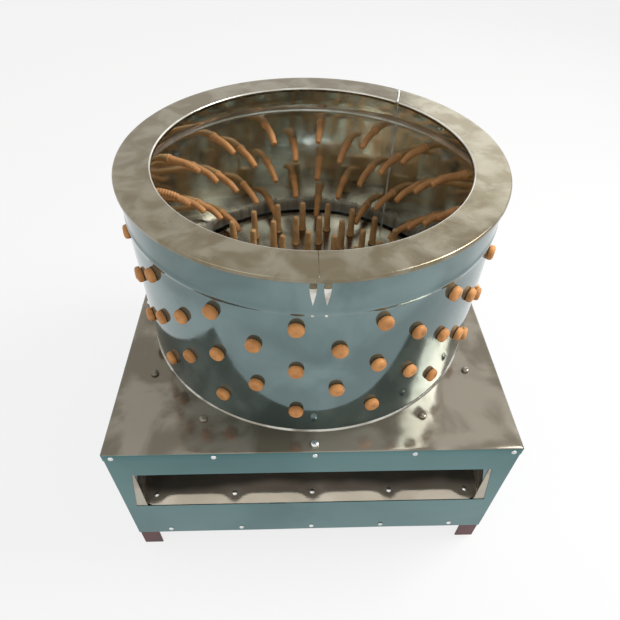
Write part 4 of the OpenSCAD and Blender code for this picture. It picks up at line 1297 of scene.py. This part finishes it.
    def tack_runs(self) -> None:
        """Two drop-shaped runs of bright metal under the front joint, with painted shade at their tops under
        the rim, and a spot on the bead below each.
        """
        low, high = self.run_z
        shape = Shape()
        for x in self.run_x:
            wall_y = -math.sqrt(self.outer_r ** 2 - x ** 2)
            rings = []
            for share in spread(0.0, 1.0, self.run_steps):
                drop = (self.run_shoulder + (1.0 - self.run_shoulder) * share) ** self.run_swell
                half = self.run_half * max(self.run_tip, math.sin(math.pi * drop))
                z = high - (high - low) * share
                y = wall_y - self.bulge(z)
                rings.append([Vector((x + half * math.cos(a), y - self.run_flat * half * math.sin(a), z))
                              for a in angles(self.run_sides)])
            shape.tube(rings)
            seat = Matrix.Translation((x, wall_y - self.bulge(self.spot_z), self.spot_z))
            shape.lathe(self.spot, seat @ Matrix.Rotation(math.pi / 2, 4, "X"))
        # Faces above run_shade_z take the painted shade under the rim.
        shape.skins = [int(shape.lowest(face) > self.run_shade_z) for face in shape.faces]
        shape.place("rim_tack_runs", [RUN_STEEL, RUN_SHADE], Body.HOUSING, Slot.DRUM_STEEL, smooth=60.0)


@dataclass
class Finger:
    """A moulded rubber finger: head, neck, collar and a ribbed, tapering shank.

    It lies along -X from the head's seat at the origin, and bends towards -Z. Each of the rings listed has
    a place, a width and a groove mask. The head's and the collar's are shares of their height and radius,
    a rib's are shares of the pitch and of its height, and the tip's are a distance from the end and a share
    of its radius.
    """

    grip: float
    reach: float
    head_r: float = 0.0115
    foot: float = 0.95
    head_h: float = 0.009
    head: tuple[Point3, ...] = (
        (0.93, 0.10, 0.5), (0.94, 0.24, 0.5), (1.0, 0.32, 0.0), (0.98, 0.62, 0.0), (0.86, 0.86, 0.0),
        (0.62, 0.98, 0.0), (0.3, 1.0, 0.0), (0.06, 0.985, 0.3))
    seat: float = 0.0001
    neck_r: float = 0.0068
    collar_r: float = 0.009
    collar_h: float = 0.004
    collar: tuple[Point3, ...] = ((0.0, 0.95, 0.8), (0.2, 1.0, 0.1), (0.75, 1.0, 0.1), (1.0, 0.9, 0.3))
    root_r: float = 0.0070
    tip_r: float = 0.00575
    tip_h: float = 0.004
    tip_ease: float = 0.001
    tip: tuple[Point3, ...] = ((-0.0016, 1.0, 0.0), (-0.0004, 0.86, 0.0), (0.0, 0.6, 0.2))
    rib: float = 0.00045
    rib_rings: tuple[Point3, ...] = ((0.02, -1.0, 1.0), (0.26, 1.0, 0.0), (0.74, 1.0, 0.0))
    pitch: float = 0.0046
    bend_from: float = 0.42
    bend_length: float = 0.40
    sides: int = 14

    def stations(self) -> list[Point3]:
        """Lists the finger's rings from the head's top to the tip.

        Returns:
            Distance inwards, radius and groove mask of each ring.
        """
        grip, seat, neck = self.grip, self.seat, self.neck_r
        start, end = grip + self.collar_h, grip + self.reach
        rings = [(-self.head_h * high, self.head_r * wide, mask) for high, wide, mask in self.head]
        rings += [(-seat, self.head_r * self.foot, 1.0), (-seat, neck, 1.0), (grip, neck, 1.0)]
        rings += [(grip + self.collar_h * deep, self.collar_r * wide, mask)
                  for deep, wide, mask in self.collar]
        count = int((end - start - self.tip_h) / self.pitch)
        for k in range(count):
            for share, rise, mask in self.rib_rings:
                along = start + (k + share) * self.pitch
                base = self.root_r + (self.tip_r - self.root_r) * (along - start) / (end - start)
                rings.append((along, base + self.rib * rise, mask))
        last = start + count * self.pitch
        rings += [(last, self.tip_r - self.rib, 0.9), (last + self.tip_ease, self.tip_r, 0.0)]
        rings += [(end + back, self.tip_r * wide, mask) for back, wide, mask in self.tip]
        return rings

    def centre(self, along: float, droop: float) -> tuple[Vector, Vector]:
        """Finds the middle of the shank and its upper side at a distance inwards.

        Args:
            along: Distance inwards from the head's seat.
            droop: How far this finger bends, in radians.

        Returns:
            The point and the direction.
        """
        start = self.grip + self.collar_h + self.bend_from * self.reach
        length = self.bend_length * self.reach
        turn = droop * min(1.0, max(0.0, (along - start) / length))
        if turn <= 0.0:
            return Vector((-along, 0, 0)), Vector((0, 0, 1))
        bend = length / droop
        beyond = max(0.0, along - start - length)
        x = start + bend * math.sin(turn) + beyond * math.cos(turn)
        z = bend * (1 - math.cos(turn)) + beyond * math.sin(turn)
        return Vector((-x, 0, -z)), Vector((-math.sin(turn), 0, math.cos(turn)))

    def add_to(self, shape: Shape, at: Matrix, droop: float) -> None:
        """Adds one finger to a shape.

        Args:
            shape: The shape.
            at: Where its head's seat is, with -X along the finger.
            droop: How far it bends, in radians.
        """
        rings, marks = [], []
        for along, r, mask in self.stations():
            middle, up = self.centre(along, droop)
            rings.append([at @ (middle + up * r * math.cos(a) + Vector((0, r * math.sin(a), 0)))
                          for a in angles(self.sides)])
            marks.append(mask)
        shape.tube(rings, marks)


@dataclass
class WallFingers:
    """The five rows of fingers in the drum wall; angles drawn for each finger are in degrees."""

    drum_r: float = DRUM_R
    seat_gap: float = 0.0003
    z_top: float = DECK_Z
    columns: int = 16
    first: float = math.radians(-95.625)
    rows: tuple[float, ...] = (0.238, 0.196, 0.153, 0.110, 0.057)
    grip: float = 0.0021
    reach: float = 0.070
    droop: float = math.radians(26.0)
    droop_range: Point2 = (-4, 5)
    roll_range: Point2 = (-11, 11)
    seed: int = 11

    def build(self) -> None:
        """Builds each row as one piece; every other row stands between the columns."""
        drawn = random.Random(self.seed)
        finger = Finger(self.grip, self.reach)
        step = FULL_TURN / self.columns
        for number, height in enumerate(self.rows, start=1):
            shape = Shape()
            for k in range(self.columns):
                turn = self.first + (k + 0.5 * ((number + 1) % 2)) * step
                seat = Matrix.Translation((self.drum_r + self.seat_gap, 0, self.z_top + height))
                roll = Matrix.Rotation(math.radians(drawn.uniform(*self.roll_range)), 4, "X")
                droop = self.droop + math.radians(drawn.uniform(*self.droop_range))
                finger.add_to(shape, Matrix.Rotation(turn, 4, "Z") @ seat @ roll, droop)
            shape.place(f"rubber_fingers_row_{number}", [FINGER_RUBBER], Body.HOUSING, Slot.FINGER_RUBBER,
                        [f"wall_fingers_row_{number}"], smooth=50.0)


@dataclass
class FeatherPlate:
    """The turning plate with its rings of upright fingers: name, radius, count and first angle."""

    plate_r: float = 0.2785
    z_plate: float = 0.366
    thick: float = 0.003
    bore_r: float = 0.0102
    hub_radii: Point2 = (0.03, 0.06)
    edge: float = 0.001
    wave: float = 0.0003
    wave_cells: float = 9.0
    wave_seed: float = 2.0
    flat_r: float = 0.1
    sides: int = 200
    bands: int = 16
    upright: float = 0.068
    lean_range: Point2 = (0.0, 5.0)
    seed: int = 5
    rings: tuple[tuple[str, float, int, float], ...] = (
        ("outer", 0.212, 24, 2.5), ("second", 0.160, 20, 9.0), ("third", 0.106, 12, 0.0))

    def build(self) -> None:
        """Builds the plate and its fingers, and dresses the hub above and below it."""
        self.plate()
        self.fingers()
        dress(ZINC, ["hub_bolts", "plate_nut"])
        dress(PLATE_STEEL, ["sweep_blades"], edge=0.0004)

    def plate(self) -> None:
        """The round plate, slightly uneven, with an eased edge."""
        top, under = self.z_plate - self.wave, self.z_plate - self.thick
        hub_in, hub_out = self.hub_radii
        radii = [self.bore_r, hub_in, *spread(hub_out, self.plate_r - self.edge, self.bands)]
        rows = []
        for turn in angles(self.sides):
            waves = [self.wave * min(1.0, r / self.flat_r)
                     * noise.noise(polar(self.wave_cells * r, turn, self.wave_seed)) for r in radii]
            loop = [(r, top + wave) for r, wave in zip(radii, waves)]
            loop += [(self.plate_r, self.z_plate - self.edge), (self.plate_r, under + self.edge)]
            loop += [(r, under) for r in reversed(radii)]
            rows.append([polar(r, turn, z) for r, z in loop])
        shape = Shape()
        shape.grid(rows)
        shape.place("feather_plate_disc", [PLATE_STEEL], Body.ROTOR, Slot.PLATE_STEEL, ["feather_plate"])

    def fingers(self) -> None:
        """The upright fingers, one piece for each ring."""
        drawn = random.Random(self.seed)
        finger = Finger(self.thick, self.upright)
        upright = Matrix.Rotation(math.radians(90), 4, "Y")
        for name, r, count, first in self.rings:
            shape = Shape()
            for turn in angles(count):
                seat = Matrix.Translation((r, 0, self.z_plate - self.thick))
                roll = Matrix.Rotation(drawn.uniform(0, FULL_TURN), 4, "X")
                lean = math.radians(drawn.uniform(*self.lean_range))
                placed = Matrix.Rotation(math.radians(first) + turn, 4, "Z") @ seat @ upright @ roll
                finger.add_to(shape, placed, lean)
            shape.place(f"upright_fingers_{name}", [UPRIGHT_RUBBER], Body.ROTOR, Slot.FINGER_RUBBER,
                        [f"plate_fingers_{name}"], smooth=50.0)


@dataclass
class Rivets:
    """The domed rivets of the skirt, the lower edge and the chute floor, and the bolts of the top plate.

    The rings of a dome or a nut, and the feet and stems of heads, are shares of their radius and height.
    """

    head_r: float = 0.0045
    head_h: float = 0.0026
    stem_h: float = 0.003
    seat: float = 0.0002
    ease: float = 0.0003
    foot: float = 0.98
    stem: float = 0.45
    dome: tuple[Point2, ...] = ((0.94, 0.38), (0.76, 0.68), (0.5, 0.88), (0.2, 0.985), (0.05, 1.0))
    count: int = 5
    skirt_z: float = 0.330
    skirt_end: float = 0.016
    lower_z: float = 0.065
    lower_end: float = 0.065
    bolt_r: float = 0.0068
    bolt_h: float = 0.0048
    bolt_grip: float = 0.006
    bolt_nut: float = 0.0064
    bolt_foot: float = 0.97
    bolt_shank: float = 0.58
    bolt_sides: int = 20
    bolt_dome: tuple[Point2, ...] = ((1.0, 0.45), (0.92, 0.7), (0.7, 0.92), (0.35, 1.0), (0.1, 1.0))
    nut_rings: tuple[Point2, ...] = ((0.9, 1.0), (1.0, 0.9), (1.0, 0.1), (0.9, 0.0))
    rail_bolts: tuple[Point2, ...] = ((0.0, -0.3245), (0.0, 0.3245), (-0.3165, 0.0), (0.3165, 0.0))
    brace_bolts: tuple[Point2, ...] = ((0.2754, 0.180), (0.180, 0.2754))

    def build(self, housing: Housing, chute: Chute) -> None:
        """Builds the three groups of rivets and the bolts.

        Args:
            housing: The base that they stand on.
            chute: The chute whose floor they hold.
        """
        self.group("skirt", self.faces(housing, 0.0, self.skirt_z, self.skirt_end))
        self.group("lower", self.faces(housing, housing.deck_t, self.lower_z, self.lower_end))
        self.group("chute", chute.rivets())
        self.deck_bolts(housing)

    def deck_bolts(self, housing: Housing) -> None:
        """Builds the bolts through the top plate: bright in the rails, polished with the sheet in the braces.

        Args:
            housing: The base that they hold.
        """
        r, grip, seat, shank = self.bolt_r, self.bolt_grip, self.seat, self.bolt_r * self.bolt_shank
        profile = [(r * wide, -grip - self.bolt_nut * deep) for wide, deep in self.nut_rings]
        profile += [(shank, -grip), (shank, -seat), (r * self.bolt_foot, -seat), (r, self.ease)]
        profile += [(r * wide, self.bolt_h * up) for wide, up in self.bolt_dome]
        corners = [(sx * x, sy * y) for sx in (-1, 1) for sy in (-1, 1) for x, y in self.brace_bolts]
        shape = Shape()
        for skin, places in enumerate((self.rail_bolts, corners)):
            first = len(shape.faces)
            for x, y in places:
                shape.lathe(profile, Matrix.Translation((x, y, housing.z_top)), self.bolt_sides)
            shape.skins[first:] = [skin] * (len(shape.faces) - first)
        shape.place("deck_bolt_heads", [ZINC, DECK_STEEL], Body.HOUSING, Slot.BRIGHT_FASTENERS,
                    ["top_plate_bolts"], smooth=50.0)

    def faces(self, housing: Housing, inset: float, z: float, end: float) -> list[Matrix]:
        """Finds places on the four outer faces, with Z pointing outwards.

        Args:
            housing: The base.
            inset: How far the face lies behind the skirt.
            z: Height of the row.
            end: Distance of its end rivets from the corners.

        Returns:
            One placement for each rivet.
        """
        wide, deep = housing.half_w, housing.half_d
        found = []
        for side in (-1, 1):
            for share in spread(-1.0, 1.0, self.count - 1):
                front = Matrix.Translation((share * (wide - end), side * (deep - inset), z))
                flank = Matrix.Translation((side * (wide - inset), share * (deep - end), z))
                found.append(front @ Matrix.Rotation(math.radians(-90 * side), 4, "X"))
                found.append(flank @ Matrix.Rotation(math.radians(90 * side), 4, "Y"))
        return found

    def group(self, name: str, places: Sequence[Matrix]) -> None:
        """Builds one group of rivets as one piece.

        Args:
            name: The group's name.
            places: Where its rivets stand, with Z outwards.
        """
        r, seat, stem = self.head_r, self.seat, self.head_r * self.stem
        profile = [(stem, -self.stem_h), (stem, -seat), (r * self.foot, -seat), (r, self.ease)]
        profile += [(r * wide, self.head_h * up) for wide, up in self.dome]
        shape = Shape()
        for at in places:
            shape.lathe(profile, at)
        shape.place(f"{name}_rivet_heads", [ZINC], Body.HOUSING, Slot.BRIGHT_FASTENERS, [f"{name}_rivets"],
                    smooth=50.0)


@dataclass
class Drive:
    """The shaft, bearings, belt and motor under the chute, and the switch in the right panel.

    The dressing gives each finish its nodes and the width of their eased edges.
    """

    belt_z: float = 0.064
    belt_h: float = 0.008
    belt_w: float = 0.011
    belt_flank: float = math.radians(18)
    foot_chamfer: Point2 = (0.0006, 0.0008)
    back_chamfer: Point2 = (0.0008, 0.0012)
    groove: Point2 = (0.0005, 0.0012)
    motor_y: float = 0.235
    big_r: float = 0.120
    big_steps: int = 120
    small_r: float = 0.030
    small_steps: int = 40
    dressing: tuple[tuple[Finish, tuple[str, ...], float], ...] = (
        (CAST_METAL, ("plate_hub", "bearing_housing", "driven_pulley", "motor_pulley"), 0.0),
        (GROUND_STEEL, ("main_shaft", "bearing_outer_races", "bearing_inner_races", "bearing_balls",
                        "motor_shaft"), 0.0),
        (ZINC, ("bearing_bolts", "motor_bolts", "pulley_bolt"), 0.0),
        (BLACK_RUBBER, ("shaft_seal",), 0.0),
        (PLATE_PAINT, ("motor_plate",), 0.0006),
        (MOTOR_PAINT, ("motor_casing", "motor_end_shields", "motor_fan_cover"), 0.0),
        (MOTOR_PAINT, ("terminal_box",), 0.002),
        (VARNISH, ("motor_stator",), 0.0),
        (BLACK_PLASTIC, ("motor_fan", "cable_gland"), 0.0),
        (BLACK_PLASTIC, ("switch_station",), 0.0008),
        (GREEN_PLASTIC, ("start_button",), 0.0012),
        (RED_PLASTIC, ("stop_button",), 0.0012))

    def build(self) -> None:
        """Builds the belt and dresses the rest of the drive."""
        self.belt()
        for finish, nodes, edge in self.dressing:
            dress(finish, nodes, edge)

    def belt_outline(self) -> list[Point2]:
        """Draws the belt's section: a trapezoid with eased corners and a pressed groove along its back.

        Returns:
            (distance outwards, height) of each point.
        """
        h, w, taper = self.belt_h / 2, self.belt_w / 2, math.tan(self.belt_flank)
        (foot_q, foot_z), (back_q, back_z), (deep, half) = self.foot_chamfer, self.back_chamfer, self.groove
        upper = [(-h, w - h * taper - foot_z), (-h + foot_q, w - (h - foot_q) * taper),
                 (h - back_q, w + (h - back_q) * taper), (h, w + h * taper - back_z), (h, half),
                 (h - deep, 0.0)]
        return upper + [(q, -z) for q, z in reversed(upper[:-1])]

    def belt(self) -> None:
        """The V-belt round both pulleys."""
        lean = math.asin((self.big_r - self.small_r) / self.motor_y)
        outline = self.belt_outline()
        rows = []
        wraps = ((0.0, self.big_r, math.pi - lean, math.pi + 2 * lean, self.big_steps),
                 (self.motor_y, self.small_r, lean, math.pi - 2 * lean, self.small_steps))
        for y, r, start, turn, steps in wraps:
            middle = Vector((0, y, self.belt_z))
            for angle in spread(start, start + turn, steps):
                rows.append([middle + polar(r + q, angle, z) for q, z in outline])
        shape = Shape()
        shape.grid(rows)
        shape.place("wrapped_belt", [BLACK_RUBBER], Body.HOUSING, Slot.BLACK_RUBBER, ["drive_belt"],
                    smooth=40.0)


@dataclass(frozen=True)
class Lamp:
    """A square softbox aimed at the machine."""

    name: str
    place: Point3
    side: float
    power: float
    tint: Colour = WHITE


@dataclass
class Studio:
    """Camera, floor, world and lamps."""

    camera_at: Point3 = (-0.0361, -0.7572, 1.0623)
    camera_right: Point3 = (0.99931, -0.03064, 0.02085)
    camera_up: Point3 = (0.00669, 0.70254, 0.71161)
    camera_ahead: Point3 = (0.03646, 0.71099, -0.70226)
    lens: float = 30.13
    sensor: float = 36.0
    floor_half: float = 8.0
    floor_tone: Colour = (0.86, 0.86, 0.85)
    floor_glow: float = 0.80
    world_level: float = 0.5
    target: Point3 = (0.0, 0.0, 0.38)
    lamps: tuple[Lamp, ...] = (
        Lamp("key_softbox", (1.55, 0.10, 2.10), 0.9, 42.0),
        Lamp("fill_softbox", (-1.8, -1.9, 1.9), 1.8, 8.0),
        Lamp("window_softbox", (1.5, 2.5, 1.7), 1.5, 8.0, (0.96, 1.0, 0.97)))

    def build(self) -> None:
        """Builds the whole set."""
        self.camera()
        self.floor()
        self.world()
        for lamp in self.lamps:
            self.softbox(lamp)
        bpy.context.scene.view_settings.view_transform = "Standard"

    def camera(self) -> None:
        """The camera at the photograph's viewing angle."""
        data = bpy.data.cameras.new("camera")
        data.lens = self.lens
        data.sensor_width = self.sensor
        camera = bpy.data.objects.new("camera", data)
        back = [-x for x in self.camera_ahead]
        axes = zip(self.camera_right, self.camera_up, back, self.camera_at)
        camera.matrix_world = Matrix([*axes, (0, 0, 0, 1)])
        bpy.context.scene.collection.objects.link(camera)
        bpy.context.scene.camera = camera

    def floor(self) -> None:
        """A pale floor that keeps the machine's shadow."""
        half = self.floor_half
        corners = [(-half, -half, 0), (half, -half, 0), (half, half, 0), (-half, half, 0)]
        mesh = bpy.data.meshes.new("floor")
        mesh.from_pydata(corners, [], [(0, 1, 2, 3)])
        surface = Surface("look_floor")
        matt = surface.node("ShaderNodeBsdfDiffuse", None, {"Color": self.floor_tone})
        glow = surface.node("ShaderNodeEmission", None, {"Color": WHITE, "Strength": 1.0})
        mixed = surface.node("ShaderNodeMixShader", None, {
            0: surface.light_path() * self.floor_glow, 1: matt.outputs[0], 2: glow.outputs[0]})
        surface.node("ShaderNodeOutputMaterial", None, {"Surface": mixed.outputs[0]})
        mesh.materials.append(surface.material)
        floor = bpy.data.objects.new("floor", mesh)
        bpy.context.scene.collection.objects.link(floor)

    def world(self) -> None:
        """A white surround that lights the machine at a lower level than it shows."""
        world = bpy.data.worlds.new("studio")
        world.use_nodes = True
        tree = Tree(world.node_tree)
        soft = tree.node("ShaderNodeBackground", None, {"Color": WHITE, "Strength": self.world_level})
        shown = tree.node("ShaderNodeBackground", None, {"Color": WHITE, "Strength": 1.0})
        mixed = tree.node("ShaderNodeMixShader", None, {
            0: tree.light_path(), 1: soft.outputs[0], 2: shown.outputs[0]})
        tree.node("ShaderNodeOutputWorld", None, {"Surface": mixed.outputs[0]})
        bpy.context.scene.world = world

    def softbox(self, lamp: Lamp) -> None:
        """Adds one area lamp, aimed at the machine's middle.

        Args:
            lamp: The lamp.
        """
        data = bpy.data.lights.new(lamp.name, "AREA")
        data.energy = lamp.power
        data.size = lamp.side
        data.color = lamp.tint
        made = bpy.data.objects.new(lamp.name, data)
        made.location = lamp.place
        made.rotation_euler = (Vector(self.target) - Vector(lamp.place)).to_track_quat("-Z", "Y").to_euler()
        bpy.context.scene.collection.objects.link(made)


def main() -> None:
    """Builds the set and every sub-assembly in order."""
    logging.basicConfig(level=logging.INFO, format="%(name)s: %(message)s")
    Studio().build()
    housing, chute = Housing(), Chute()
    housing.build()
    chute.build()
    Drum().build()
    WallFingers().build()
    FeatherPlate().build()
    Rivets().build(housing, chute)
    Drive().build()


if __name__ == "__main__":
    main()
